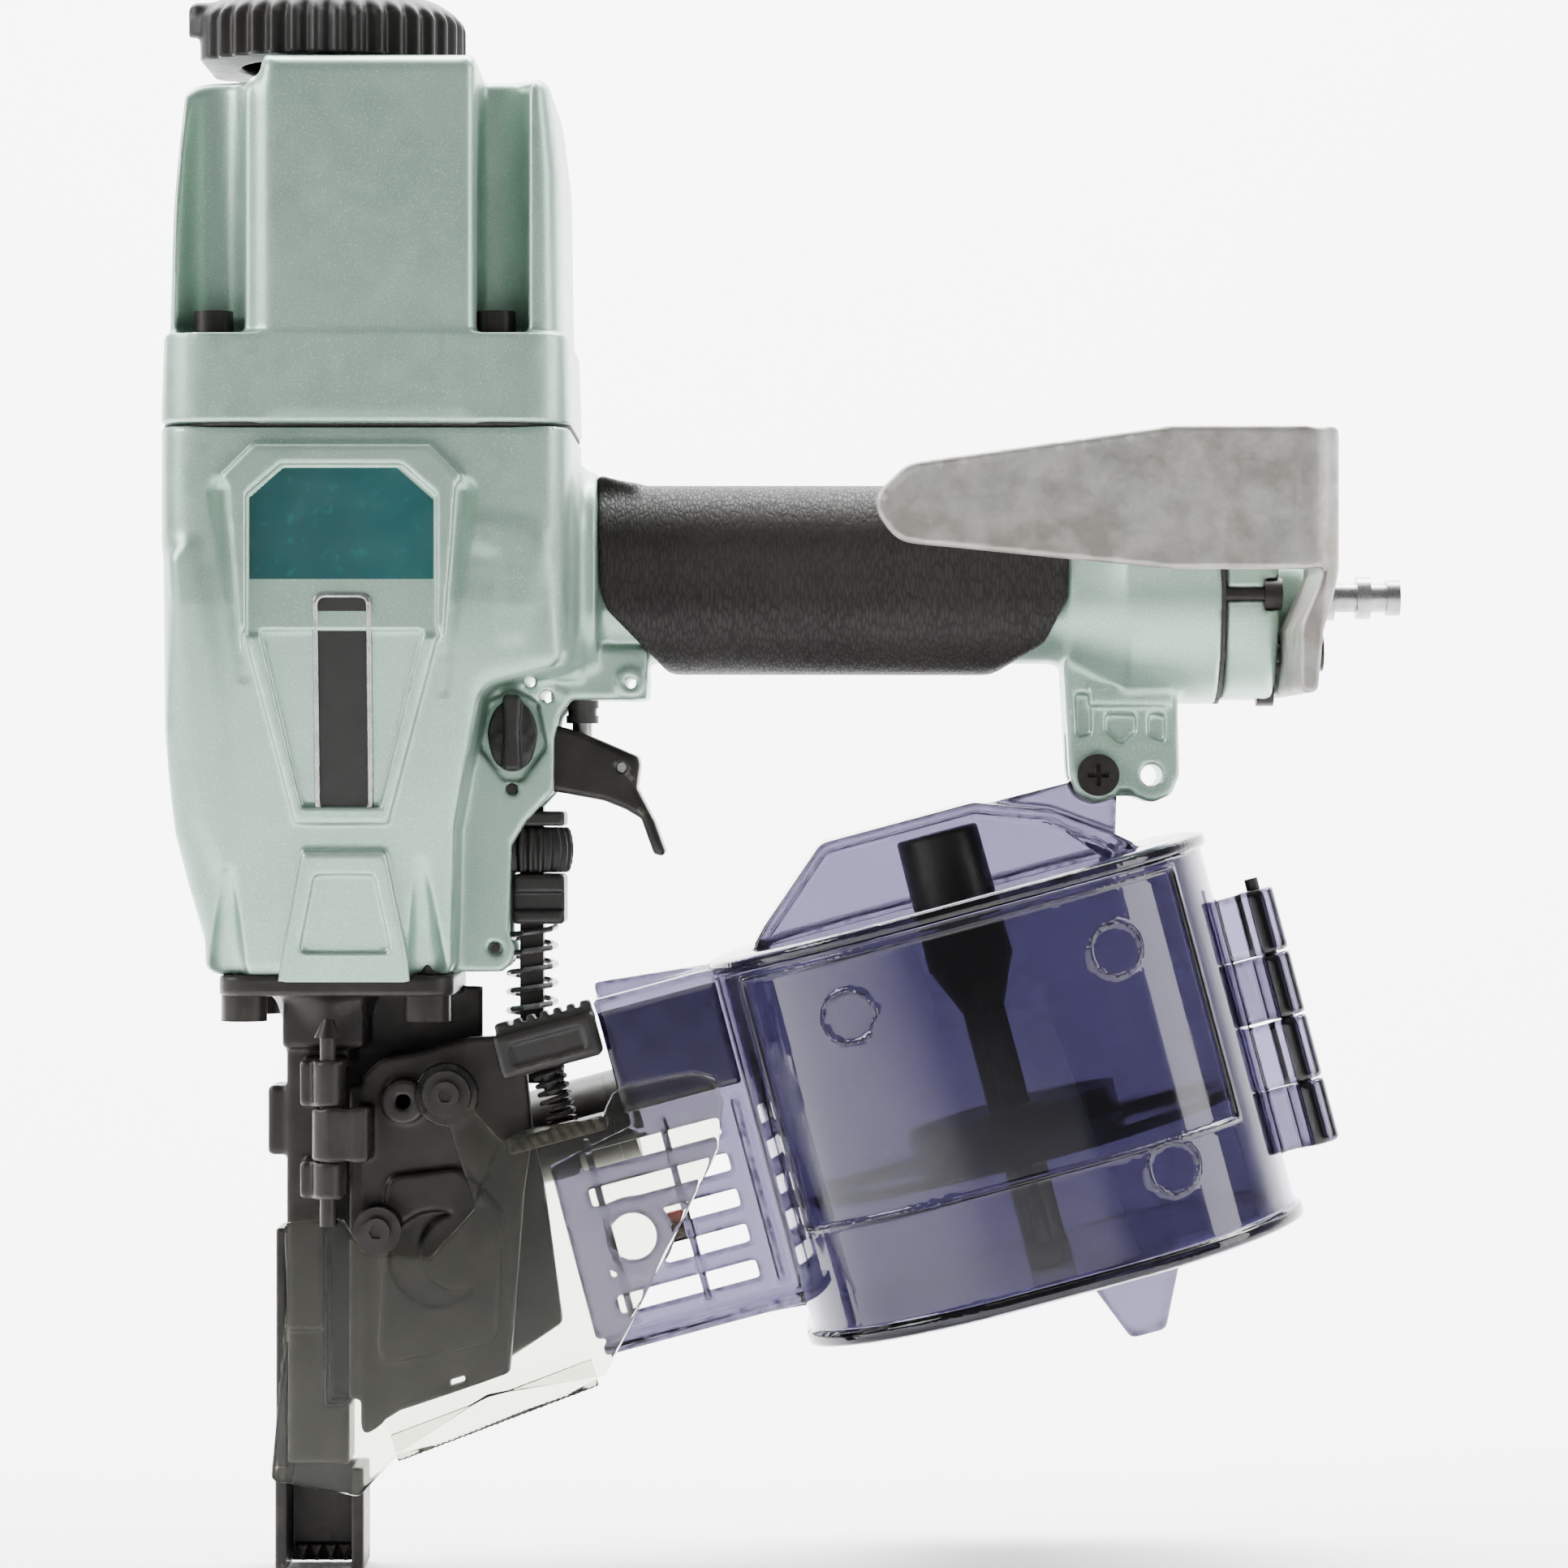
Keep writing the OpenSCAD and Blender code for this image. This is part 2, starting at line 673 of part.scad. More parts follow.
module rafter_hook() {
    top = seam_z - 1.5;
    low = bulb_z + 4;
    tip = [handle_x + 59, handle_z + 15.5];
    color(STEEL) difference() {
        union() {
            // Near plate, with a round end
            along_y(hook_y, hook_y + hook_t) {
                translate([tip[0] + 8, tip[1] - 1.5]) circle(8);
                polygon([
                    [tip[0] + 7, tip[1] + 6.5], [hook_x - 32, top], [hook_x + hook_t, top],
                    [hook_x + hook_t, low], [hook_x - 32, low], [tip[0] + 4, tip[1] - 8.4]
                ]);
            }
            // Leg across the back of the end cap
            along_y(hook_y + hook_t - 0.01, hook_far) polygon([
                [hook_x, top], [hook_x + hook_t, top], [hook_x + hook_t, low], [cap_end + 5, bulb_z - 9],
                [cap_end + hook_t + 0.2, bulb_z - 22], [cap_end + 0.2, bulb_z - 22],
                [cap_end + 0.2, bulb_z - 8], [hook_x, low]
            ]);
        }
        // The leg is cut away over the plug and at its upper far corner
        rod_x(cap_end - cut, hook_x + 20, 0, plug_z, 10.5);
        box([cap_end, -10.5, plug_z], [hook_x + 10, hook_far + 1, top + 1]);
        for (y = [-12, 12]) rod_x(cap_end - cut, hook_x + 10, y, bulb_z - 12.5, 2.1);
    }
}

module hook_bolts() {
    color(BLACK) for (y = [-12, 12]) translate([cap_end + 5.6, y, bulb_z - 12.5]) rotate([0, 90, 0])
        socket_screw(2, 9.5, 4, 4);
}

// ---------------------------------------------------------------- Trigger group

module valve_body() {
    color(BRASS) difference() {
        union() {
            rod_z(valve_x, 0, pivot[1] + 7.6, handle_z - 14, valve_body_r);
            rod_z(valve_x, 0, handle_z - 15, handle_z - 10, valve_body_r - 2);
        }
        rod_z(valve_x, 0, pivot[1], handle_z, 2.2 + run);
    }
}

module valve_plunger() {
    color(STEEL) rod_z(valve_x, 0, pivot[1] - 3.4, handle_z - 14, 2.2);
}

module valve_boot() {
    color(RUBBER) difference() {
        for (i = [0 : 2]) translate([valve_x, 0, pivot[1] + 2.5 + 1.65 * i])
            cylinder(h = 1.7, r = 3.6 - 0.4 * (i % 2));
        rod_z(valve_x, 0, pivot[1], handle_z, 2.3);
    }
}

module trigger_side() {
    polygon([
        [0, 4.6], [14.4, 0.6], [19.4, -1.5], [27.3, -4.9], [27.7, -6.6], [27, -11.8], [30.9, -19.2],
        [33.3, -25.8], [32.7, -26.9], [30.7, -26.4], [27.9, -18.6], [24.6, -16.6], [19.9, -14.7],
        [12, -13.2], [8.5, -12.6], [0, -4.6]
    ]);
}

module trigger() {
    color(BLACK) at_pivot() difference() {
        union() {
            rod_y(0, 0, -trigger_w / 2, trigger_w / 2, 5.5);
            along_y(-trigger_w / 2, trigger_w / 2) trigger_side();
        }
        along_y(-trigger_w / 2 + trigger_wall, trigger_w / 2 - trigger_wall) polygon([
            [-7, 8], [-7, -14], [7, -14], [8.7, -10.8], [19, -12.5], [25.4, -13], [26, -6], [26, 8]
        ]);
        rod_y(0, 0, -20, 20, shaft_r + run);
        rod_y(23.7, -7.3, -20, 20, 1 + run);
    }
}

module contact_lever() {
    color(STEEL) at_pivot() difference() {
        along_y(-5, 5) {
            translate([23.7, -7.3]) circle(2.1);
            polygon([
                [23.7, -5.2], [10, -4.6], [6.4, -4.6], [4.6, -5.2], [4.6, -6.2], [8, -6.6], [23.7, -9.4]
            ]);
        }
        rod_y(23.7, -7.3, -20, 20, 1 + run);
    }
}

module lever_pin() {
    color(STEEL) at_pivot() rod_y(23.7, -7.3, -trigger_w / 2, trigger_w / 2, 1);
}

module mode_selector() {
    color(BLACK) at_pivot() {
        rod_y(0, 0, -plate_out - 0.4, plate_out + 1.2, shaft_r);
        along_y(-plate_out - 3, -plate_out - 0.3) {
            circle(5.4);
            translate([0, 3]) circle(4.4);
            translate([0, -3.5]) circle(4.6);
        }
        along_y(-plate_out - 7, -plate_out - 2.9) round_rect([-2, -8], [2, knob_r], 1.9);
    }
}

// ---------------------------------------------------------------- Push lever

module lever_guides() {
    color(BLACK) difference() {
        union() {
            box([lever_x - 4, -plate_in + fit, guide_low], [lever_x + 7.5, plate_in - fit, wheel_z - gap]);
            box([lever_x - 4, -plate_in + fit, wheel_z + wheel_h + gap],
                [lever_x + 7.5, plate_in - fit, lever_top - 1]);
        }
        box([lever_x - 2.9, -3.3, guide_low - cut], [lever_x + 2.9, 3.3, lever_top + cut]);
        rod_y(guide_pins_at[0][0], guide_pins_at[0][1], -40, 40, 1.2);
    }
}

module guide_pins() {
    color(STEEL) for (p = guide_pins_at) difference() {
        rod_y(p[0], p[1], -plate_out - 0.4, plate_out + 0.4, 1.1);
        box([lever_x - 2.9, -3.3, guide_low - 20], [lever_x + 2.9, 3.3, lever_top + cut]);
    }
}

module push_lever() {
    color(BLACK) {
        box([lever_x - 2.6, -3, shelf_z - 4], [lever_x + 2.6, 3, lever_top]);
        box([lever_x - 6.5, -6.5, shelf_z - 4], [lever_x + 6.5, 11, shelf_z]);
        box([lever_x - 6.5, 10.99, nose_h - 20], [lever_x + 6.5, 13.5, shelf_z]);
        box([-8, 10.99, nose_h - 21], [lever_x + 6.5, 13.5, nose_h - 12]);
    }
}

module push_lever_spring() {
    color(STEEL) translate([lever_x, 0, shelf_z + 0.1]) coil_spring(5.2, 0.7, guide_low - shelf_z - 0.2, 5);
}

module depth_adjuster() {
    color(BLACK) difference() {
        union() {
            rod_z(lever_x, 0, wheel_z, wheel_z + wheel_h, wheel_r - 0.7);
            for (i = [0 : 23]) translate([lever_x, 0, wheel_z + 1]) rotate(15 * i)
                box([wheel_r - 2, -0.6, 0], [wheel_r, 0.6, wheel_h - 2]);
        }
        rod_z(lever_x, 0, wheel_z - cut, wheel_z + wheel_h + cut, 4.3);
    }
}

module contact_tip() {
    left = -11;
    color(BLACK) difference() {
        union() {
            // Channel below the muzzle, open to the near side
            along_z(-contact_drop, -0.6) difference() {
                round_rect([left, -7.5], [8.6, 10.4], 2);
                polygon([[-8.5, -8], [5.5, -8], [5.5, 7.9], [-8.5, 7.9]]);
            }
            // Strips up the left side and the far side of the nose
            box([left, -5, -1], [-8.5, 5, nose_h - 52]);
            box([left, 4.9, -1], [-8.5, 10.4, nose_h - 52]);
            box([-8.6, 8, -1], [3.5, 10.4, nose_h - 21]);
            box([-8, 8, nose_h - 21.1], [3.5, 10.98, nose_h - 12]);
        }
        // Teeth
        for (x = [-8.7, -4.3, 0.1, 4.5]) translate([x, 0, -contact_drop]) rotate([0, 45, 0])
            cube([3, 40, 3], center = true);
        along_y(-20, 6) polygon([
            [-8.6, -contact_drop - 1], [5.6, -contact_drop - 1], [1.5, -12], [-4.5, -12]
        ]);
    }
}

// ---------------------------------------------------------------- Nose

module nose_bolt_spots() {
    for (x = [-16.5, 23.5], y = [-19.5, 19.5]) translate([x, y, 0]) children();
}

module nose_body() {
    color(BLACK) difference() {
        union() {
            along_z(flange_z, housing_z) round_rect([-21.8, -26], [29.4, 26], 6);
            box([-9, -12, nose_h - 12], [9, 7.4, flange_z + 0.01]);
            box([-8.2, -9.8, 30], [guide_wall, 7.4, nose_h - 11.9]);
            box([-8.2, -7.2, 0], [guide_wall, 7.4, 30.1]);
            // Guide block on the left, hinge arm for the door
            box([-12.4, -9, nose_h - 35.6], [-8, 7, nose_h - 20.3]);
            box([-4, pin_y - 3.2, nose_h - 24], [pin_x + 3.2, -9, nose_h - 14]);
            box([-4, pin_y - 3.2, nose_h - 44], [pin_x + 3.2, -9, nose_h - 36]);
            // Far wall of the feed path
            along_y(feed_wall, feed_wall + 1.7) polygon([
                [3.9, 14], [40, 22], [52, 30], [48, 60],
                [41, nose_h - 14], [30, nose_h - 12], [3.9, nose_h - 12]
            ]);
            box([3.9, feed_wall, nose_h - 12.1], [34, feed_wall + 1.7, flange_z]);
        }
        // Muzzle bore, then the driver's way with a little more room
        rod_z(0, 0, -cut, muzzle_wall, guide_r);
        rod_z(0, 0, muzzle_wall - 0.01, housing_z + cut, guide_r + gap);
        // Feed slot
        box([0, -door_in - 9, muzzle_wall], [guide_wall + cut, feed_wall - 0.01, slot_top]);
        // Opening for the feed pawl
        feed_frame() box([pawl_u - 9, feed_wall - 1, feeder_v - 3.5],
            [pawl_u + feed_travel + 3, feed_wall + 3, feeder_v + 3.5]);
        rod_z(pin_x, pin_y, nose_h - 60, nose_h, pin_r + run);
        nose_bolt_spots() translate([0, 0, flange_z - cut]) cylinder(h = 10, r = m6 + fit);
        rod_z(0, 0, flange_z + 2, housing_z + cut, 8);
    }
}

module nose_bolts() {
    color(BLACK) nose_bolt_spots() translate([0, 0, flange_z - 0.02]) rotate([180, 0, 0])
        socket_screw(m6, 18, 5, 5.6);
}

module door_hinge_pin() {
    color(STEEL) union() {
        rod_z(pin_x, pin_y, pin_low, pin_high + 1, pin_r);
        translate([pin_x, pin_y, pin_high + 0.99]) cylinder(h = 4, r1 = 3, r2 = 1.2);
    }
}

module nose_door() {
    outer = -door_in - door_t;
    color(BLACK) difference() {
        union() {
            along_y(outer, -door_in) polygon([
                [8.3, 6], [17, 12.5], [41, 20], [44, 60], [46, 74], [44, nose_h - 9], [32, nose_h - 9.6],
                [20, nose_h - 13], [12.5, nose_h - 14.2], [8.3, nose_h - 18]
            ]);
            // Tongue that closes the guide
            box([5.8, outer, muzzle_wall + 2], [9, -door_in + 2.2, slot_top - 4]);
            // Knuckle and its web
            rod_z(pin_x, pin_y, nose_h - 35.7, nose_h - 24.3, 3.4);
            box([pin_x, pin_y - 3.4, nose_h - 35.7], [10.5, pin_y + 1, nose_h - 24.3]);
            box([8, pin_y - 3.4, nose_h - 35.7], [11, outer + 0.01, nose_h - 24.3]);
            for (p = concat(shield_screws_at, [[18.1, 80.7]]))
                rod_y(p[0], p[1], shield_y + gap, outer + 0.01, 4.8);
            // Ledge under the latch spring
            feed_frame() box([58, latch_y - 5, 56], [80, -door_in, latch_v]);
        }
        rod_z(pin_x, pin_y, nose_h - 60, nose_h, pin_r + run);
        for (p = shield_screws_at) rod_y(p[0], p[1], -30, -door_in - 1.5, 1.5 + fit);
        along_y(outer - cut, -door_in + cut) polygon([[28, 17.8], [31.2, 18.8], [31.2, 20.2], [28, 19.2]]);
    }
}

module shield_outline() {
    difference() {
        polygon([
            [-10.5, -1.6], [-7, 38], [-7.6, 54.6], [5, 55.5], [9.3, 48], [24, 47], [34, 58], [40, 72],
            [44, 74.8], [61.5, 77.4], [63.5, 82.5], [66.7, 84.4], [81, 87.1], [86, 86], [88, 81],
            [86.9, 70.4], [62.3, 21.2], [36.8, 16.6], [17, 4], [8.8, -5.1]
        ]);
        translate([12.7, 52.8]) circle(1.5 + fit);
    }
}

module nose_shield() {
    color(CLEAR) difference() {
        union() {
            along_y(shield_y - shield_t, shield_y) {
                shield_outline();
                difference() {
                    translate([27.7, 82.4]) circle(7);
                    translate([27.7, 82.4]) circle(1.5 + fit);
                }
                polygon([[28, 76], [34, 58], [40, 72], [33.5, 79]]);
            }
            // Lip bent outwards along the lower edge
            translate([17, 0, 4]) rotate([0, -20.8, 0]) along_x(0.5, 47) polygon([
                [shield_y, 6.4], [shield_y - shield_t, 7.4], [shield_y - 8.4, 0.4], [shield_y - 8, -1]
            ]);
        }
        rod_y(27.7, 82.4, -40, 0, 1.5 + fit);
        rod_y(12.7, 52.8, -40, 0, 1.5 + fit);
    }
}

module shield_screws() {
    color(BLACK) for (p = shield_screws_at) difference() {
        union() {
            rod_y(p[0], p[1], shield_y - shield_t - 1.1, shield_y - shield_t - 0.02, 5.2);
            rod_y(p[0], p[1], shield_y - shield_t - 4, shield_y - shield_t - 1, 3);
            rod_y(p[0], p[1], shield_y - shield_t - 1, -door_in - 2, 1.5);
        }
        translate([p[0], shield_y - shield_t - 3, p[1]]) rotate([90, 0, 0]) cylinder(h = 4, r = 1.6, $fn = 6);
    }
}

module door_latch() {
    color(BLACK) feed_frame() {
        box([60.8, latch_y - 9.5, latch_v + 12.9], [83.5, latch_y - 0.1, latch_v + 22.7]);
        box([62, latch_y - 8, latch_v + 22.6], [83.5, latch_y - 2, latch_v + 25.2]);
        box([68, latch_y - 3, latch_v + 12.9], [75, latch_y + 4, latch_v + 15]);
        rod_z(latch_u, latch_y, latch_v + 6.7, latch_v + 13, 2);
    }
}

module latch_spring() {
    color(STEEL) feed_frame() translate([latch_u, latch_y, latch_v + 0.1]) coil_spring(3.2, 0.6, 12.7, 6);
}

// ---------------------------------------------------------------- Feeder

module feed_cylinder() {
    color(BLACK) feed_frame() difference() {
        union() {
            rod_x(feeder_u, feeder_u + feeder_l, feeder_y, feeder_v, feeder_r);
            box([feeder_u + 3, feed_wall + 1.9, feeder_v - 6], [feeder_u + 15, feeder_y - 4, feeder_v + 6]);
        }
        rod_x(feeder_u + 4, feeder_u + feeder_l + cut, feeder_y, feeder_v, feeder_bore);
        rod_x(feeder_u - cut, feeder_u + 6, feeder_y, feeder_v, 2.5 + run);
    }
}

module feed_cap() {
    end = feeder_u + feeder_l;
    color(BLACK) feed_frame() union() {
        rod_x(end + 0.05, end + 4, feeder_y, feeder_v, feeder_r);
        rod_x(end - 4, end + 0.06, feeder_y, feeder_v, feeder_bore - fit);
        rod_x(end + 3.9, end + 6, feeder_y, feeder_v, 4, $fn = 6);
    }
}

module feed_piston() {
    color(STEEL) feed_frame() difference() {
        union() {
            rod_x(feeder_u + 4.5, feeder_u + 10.5, feeder_y, feeder_v, feeder_bore - run);
            rod_x(pawl_u, feeder_u + 5, feeder_y, feeder_v, 2.5);
            box([pawl_u - 4, pawl_y - 2.4, feeder_v - 4.5], [pawl_u + 4, feeder_y + 3, feeder_v + 4.5]);
        }
        box([pawl_u - 5, pawl_y - 4, feeder_v - 2.5], [pawl_u + 5, pawl_y + 3, feeder_v + 2.5]);
        rod_z(pawl_u, pawl_y, feeder_v - 9, feeder_v + 9, 1.3);
    }
}

module feed_spring() {
    color(STEEL) feed_frame() translate([feeder_u + 10.6, feeder_y, feeder_v]) rotate([0, 90, 0])
        coil_spring(5.4, 0.6, feeder_l - 15, 6);
}

module feed_pawl() {
    color(STEEL) feed_frame() difference() {
        translate([0, 0, feeder_v - 2.2]) linear_extrude(4.4) {
            translate([pawl_u, pawl_y]) circle(2.8);
            polygon([
                [pawl_u - 2.8, pawl_y], [pawl_u - 2, feed_wall + 2], [pawl_u - 2, 4.6],
                [pawl_u + 2.4, feed_wall + 2.5], [pawl_u + 2.8, pawl_y]
            ]);
        }
        rod_z(pawl_u, pawl_y, feeder_v - 9, feeder_v + 9, 1.3 + run);
    }
}

module pawl_pin() {
    color(STEEL) feed_frame() rod_z(pawl_u, pawl_y, feeder_v - 4.5, feeder_v + 4.5, 1.28);
}

// ---------------------------------------------------------------- Magazine

module canister_plan(inset) {
    round_rect(
        [mag_u + inset, mag_near + inset], [mag_right - inset, mag_far - inset], mag_r - inset);
}

// Closed drum, hollow inside
module canister() {
    difference() {
        along_z(mag_v, mag_top) canister_plan(0);
        along_z(mag_v + magazine_wall, mag_top - magazine_wall) canister_plan(magazine_wall);
    }
}

module near_half() {
    box([mag_u - 60, mag_near - 10, mag_v - 40], [mag_right + 30, split_y - gap / 2, mag_top + 60]);
}

module cover_knuckles(odd) {
    pitch = (mag_top - mag_v - 30) / 4;
    for (i = [odd : 2 : 3]) {
        z = mag_v + 14 + pitch * i;
        rod_z(hinge_u, split_y, z + 0.2, z + pitch - 0.2, hinge_r);
        if (odd == 0) {
            box([mag_right - 2.2, split_y, z + 0.2], [hinge_u, split_y + 2.4, z + pitch - 0.2]);
        } else {
            box([mag_right - 2.2, split_y - 2.6, z + 0.2], [hinge_u, split_y - 0.2, z + pitch - 0.2]);
        }
    }
}

module hat_side(inset) {
    polygon([
        [mag_u + 5 + inset, mag_top - 3], [mag_u + 30 + inset, mag_top + hat_h - inset],
        [mag_u + 65 - inset, mag_top + hat_h - inset], [mag_u + 81 - inset, mag_top + hat_h - 6 - inset],
        [mag_u + 103 - inset, mag_top - 3]
    ]);
}

module neck_side() {
    polygon([
        [neck_u, 10], [neck_u + 8, 8], [mag_u + 2, 5], [mag_u + 2, mag_top - 3], [neck_u + 20, mag_top],
        [neck_u + 20, 54], [neck_u, 50]
    ]);
}

module magazine_base() {
    color(TINT) feed_frame() difference() {
        union() {
            difference() {
                union() {
                    difference() {
                        along_z(mag_v, mag_top) canister_plan(0);
                        near_half();
                    }
                    along_y(split_y + gap / 2, mag_y + 34) hat_side(0);
                }
                along_z(mag_v + magazine_wall, mag_top - magazine_wall) canister_plan(magazine_wall);
                along_y(split_y - cut, mag_y + 34 - magazine_wall) hat_side(magazine_wall);
            }
            // Feed neck: far wall, top, and the near wall of its upper part
            along_y(feed_wall, feed_wall + magazine_wall) neck_side();
            box([neck_u + 20, -14, mag_top - 6], [mag_u - gap, feed_wall + 1, mag_top - 3.5]);
            box([neck_u + 20, split_y + gap, mag_top - 6], [mag_u + 6, feed_wall + 1, mag_top - 3.5]);
            box([neck_u + 20, -14, 58], [mag_u - gap, -11.5, mag_top - 3.5]);
            box([neck_u + 2, split_y + gap, 7], [mag_u + 3, feed_wall + 1, 9.5]);
            // Lug to the bracket
            along_y(-lug_w / 2, lug_w / 2) {
                translate([lug_u, lug_v]) circle(5.6);
                polygon([
                    [lug_u - 5.6, lug_v], [mag_u + 66, mag_top + hat_h - 1], [mag_u + 82, mag_top + 8],
                    [lug_u - 1, mag_top - 3], [lug_u + 4, lug_v - 3.5]
                ]);
            }
            // Foot below the drum
            along_y(split_y + 2, split_y + 14) polygon([
                [mag_u + 60, mag_v + 1], [mag_u + 68, mag_v - 17],
                [mag_u + 76, mag_v - 17], [mag_u + 86, mag_v + 1]
            ]);
            cover_knuckles(0);
        }
        // Way for the nail strip into the neck
        box([mag_u - 2, split_y - cut, 12], [mag_u + 22, feed_wall - 0.3, mag_top - 6.5]);
        // Slots of the grille in the neck's far wall
        for (i = [0 : 4]) box([neck_u + 7, 0, 14 + 8.2 * i], [mag_u - 8, 20, 18 + 8.2 * i]);
        rod_z(mag_mid, mag_y, mag_v - cut, mag_v + magazine_wall + cut, 2.6);
        translate([lug_u, 0, lug_v]) rotate([90, 0, 0]) cylinder(h = 40, r = m5 + fit, center = true);
        rod_z(hinge_u, split_y, mag_v, mag_top, hinge_pin_r + run);
        cover_clearance();
    }
}

// Room for the cover's knuckles beside the fixed ones
module cover_clearance() {
    pitch = (mag_top - mag_v - 30) / 4;
    for (i = [1 : 2 : 3]) {
        z = mag_v + 14 + pitch * i;
        rod_z(hinge_u, split_y, z - 0.1, z + pitch + 0.1, hinge_r + 0.5);
    }
}

module magazine_cover() {
    pitch = (mag_top - mag_v - 30) / 4;
    color(TINT) feed_frame() difference() {
        union() {
            intersection() {
                canister();
                near_half();
            }
            cover_knuckles(1);
        }
        box([mag_u - 2, split_y - 3, 12], [mag_u + 22, split_y + cut, mag_top - 6.5]);
        rod_z(hinge_u, split_y, mag_v, mag_top, hinge_pin_r + run);
        for (i = [0 : 2 : 3]) {
            z = mag_v + 14 + pitch * i;
            rod_z(hinge_u, split_y, z - 0.1, z + pitch + 0.1, hinge_r + 0.5);
        }
    }
}

module cover_hinge_pin() {
    color(STEEL) feed_frame() rod_z(hinge_u, split_y, mag_v + 13, mag_top - 15, hinge_pin_r);
}

module magazine_post() {
    low = mag_v + magazine_wall + 0.05;
    color(BLACK) feed_frame() union() {
        rod_z(mag_mid, mag_y, low, mag_v + 64, post_r);
        translate([mag_mid, mag_y, mag_v + 63.9]) cylinder(h = 10, r1 = post_r, r2 = 8);
        translate([mag_mid, mag_y, mag_v + 73.8]) cylinder(h = mag_top - mag_v - 74, r1 = 8, r2 = 9);
        rod_z(mag_mid, mag_y, mag_v - 1.5, low + 0.1, 2.5);
    }
}

module nail_tray() {
    color(TINT) feed_frame() difference() {
        union() {
            rod_z(mag_mid, mag_y, tray_v, tray_v + 2.5, canister_l / 2 - magazine_wall - 4);
            rod_z(mag_mid, mag_y, tray_v, tray_v + 10, post_r + 3);
            difference() {
                rod_z(mag_mid, mag_y, tray_v, tray_v + 10, 24);
                rod_z(mag_mid, mag_y, tray_v + 2, tray_v + 11, 22);
            }
        }
        rod_z(mag_mid, mag_y, tray_v - cut, tray_v + 12, post_r + run);
    }
}

module bracket_screw() {
    color(BLACK) difference() {
        union() {
            rod_y(bracket_x, bracket_z, -bracket_w / 2 - 3.2, -bracket_w / 2 - 0.02, 4.6);
            rod_y(bracket_x, bracket_z, -bracket_w / 2 - 0.1, bracket_w / 2 + 4, m5 - 0.02);
        }
        // Cross recess
        for (a = [0, 90]) translate([bracket_x, -bracket_w / 2 - 1.6, bracket_z]) rotate([0, a, 0])
            box([-2.4, -3, -0.5], [2.4, 0, 0.5]);
    }
}

module bracket_nut() {
    color(STEEL) difference() {
        translate([bracket_x, bracket_w / 2 + 4.02, bracket_z]) rotate([90, 0, 0])
            cylinder(h = 4, r = 4.6, $fn = 6);
        rod_y(bracket_x, bracket_z, bracket_w / 2 - cut, bracket_w / 2 + 6, m5);
    }
}

head_housing();
head_gasket();
exhaust_deflector();
deflector_screw();
deflector_washer();
head_bolts();
head_valve();
head_valve_seal();
head_valve_spring();
cylinder_sleeve();
cylinder_seals();
piston();
piston_ring();
driver_blade();
bumper();
main_housing();
label_plate();
badge_plate();
grip_sleeve();
end_gasket();
end_cap();
end_cap_screws();
air_filter();
air_plug();
rafter_hook();
hook_bolts();
valve_body();
valve_plunger();
valve_boot();
trigger();
contact_lever();
lever_pin();
mode_selector();
push_lever();
lever_guides();
guide_pins();
push_lever_spring();
depth_adjuster();
contact_tip();
nose_body();
nose_bolts();
door_hinge_pin();
nose_door();
nose_shield();
shield_screws();
door_latch();
latch_spring();
feed_cylinder();
feed_cap();
feed_piston();
feed_spring();
feed_pawl();
pawl_pin();
magazine_base();
magazine_post();
nail_tray();
magazine_cover();
cover_hinge_pin();
bracket_screw();
bracket_nut();
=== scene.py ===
"""Looks of a pneumatic coil nailer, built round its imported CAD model.

Castings and mouldings are drawn as distance fields in millimetres, in the tool's frame or in the feed
frame, which is tilted about Y and has axes u, y and v. Each field is then meshed and turned to metres.
"""

import json
import math

import bpy
import numpy as np
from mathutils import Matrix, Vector


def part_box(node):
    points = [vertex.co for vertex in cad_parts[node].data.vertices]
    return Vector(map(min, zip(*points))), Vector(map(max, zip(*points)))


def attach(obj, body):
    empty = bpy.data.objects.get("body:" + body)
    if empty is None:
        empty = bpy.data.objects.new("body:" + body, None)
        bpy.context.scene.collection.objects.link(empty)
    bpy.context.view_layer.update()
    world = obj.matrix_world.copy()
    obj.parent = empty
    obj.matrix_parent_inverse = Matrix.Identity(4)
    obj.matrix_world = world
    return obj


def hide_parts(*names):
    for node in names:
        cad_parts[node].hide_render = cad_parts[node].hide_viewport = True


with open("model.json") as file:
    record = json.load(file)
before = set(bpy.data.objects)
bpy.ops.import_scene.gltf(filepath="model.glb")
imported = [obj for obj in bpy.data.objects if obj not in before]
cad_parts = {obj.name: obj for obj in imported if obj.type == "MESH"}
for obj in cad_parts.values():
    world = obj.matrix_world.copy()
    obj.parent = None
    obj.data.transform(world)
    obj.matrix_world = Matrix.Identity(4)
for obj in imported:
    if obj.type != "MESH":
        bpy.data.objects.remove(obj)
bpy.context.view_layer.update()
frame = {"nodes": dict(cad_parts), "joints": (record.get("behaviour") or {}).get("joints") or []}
JOINTS = {joint["name"]: joint for joint in frame["joints"]}
CELL = 0.75
X, Y, Z = 0, 1, 2
REACH = 9.0


def span(node):
    """Lowest and highest corners of a CAD node, in millimetres."""
    low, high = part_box(node)
    return np.array(low) * 1000, np.array(high) * 1000


def joint_point(name):
    return np.array(JOINTS[name]["pos_m"]) * 1000


# ---------------------------------------------------------------- Camera and studio

LOW, HIGH = span("contact_tip")[0][Z], span("exhaust_deflector")[1][Z]
VIEW_DISTANCE = 1.15
VIEW_WIDTH = 0.3478
SENSOR = 36.0


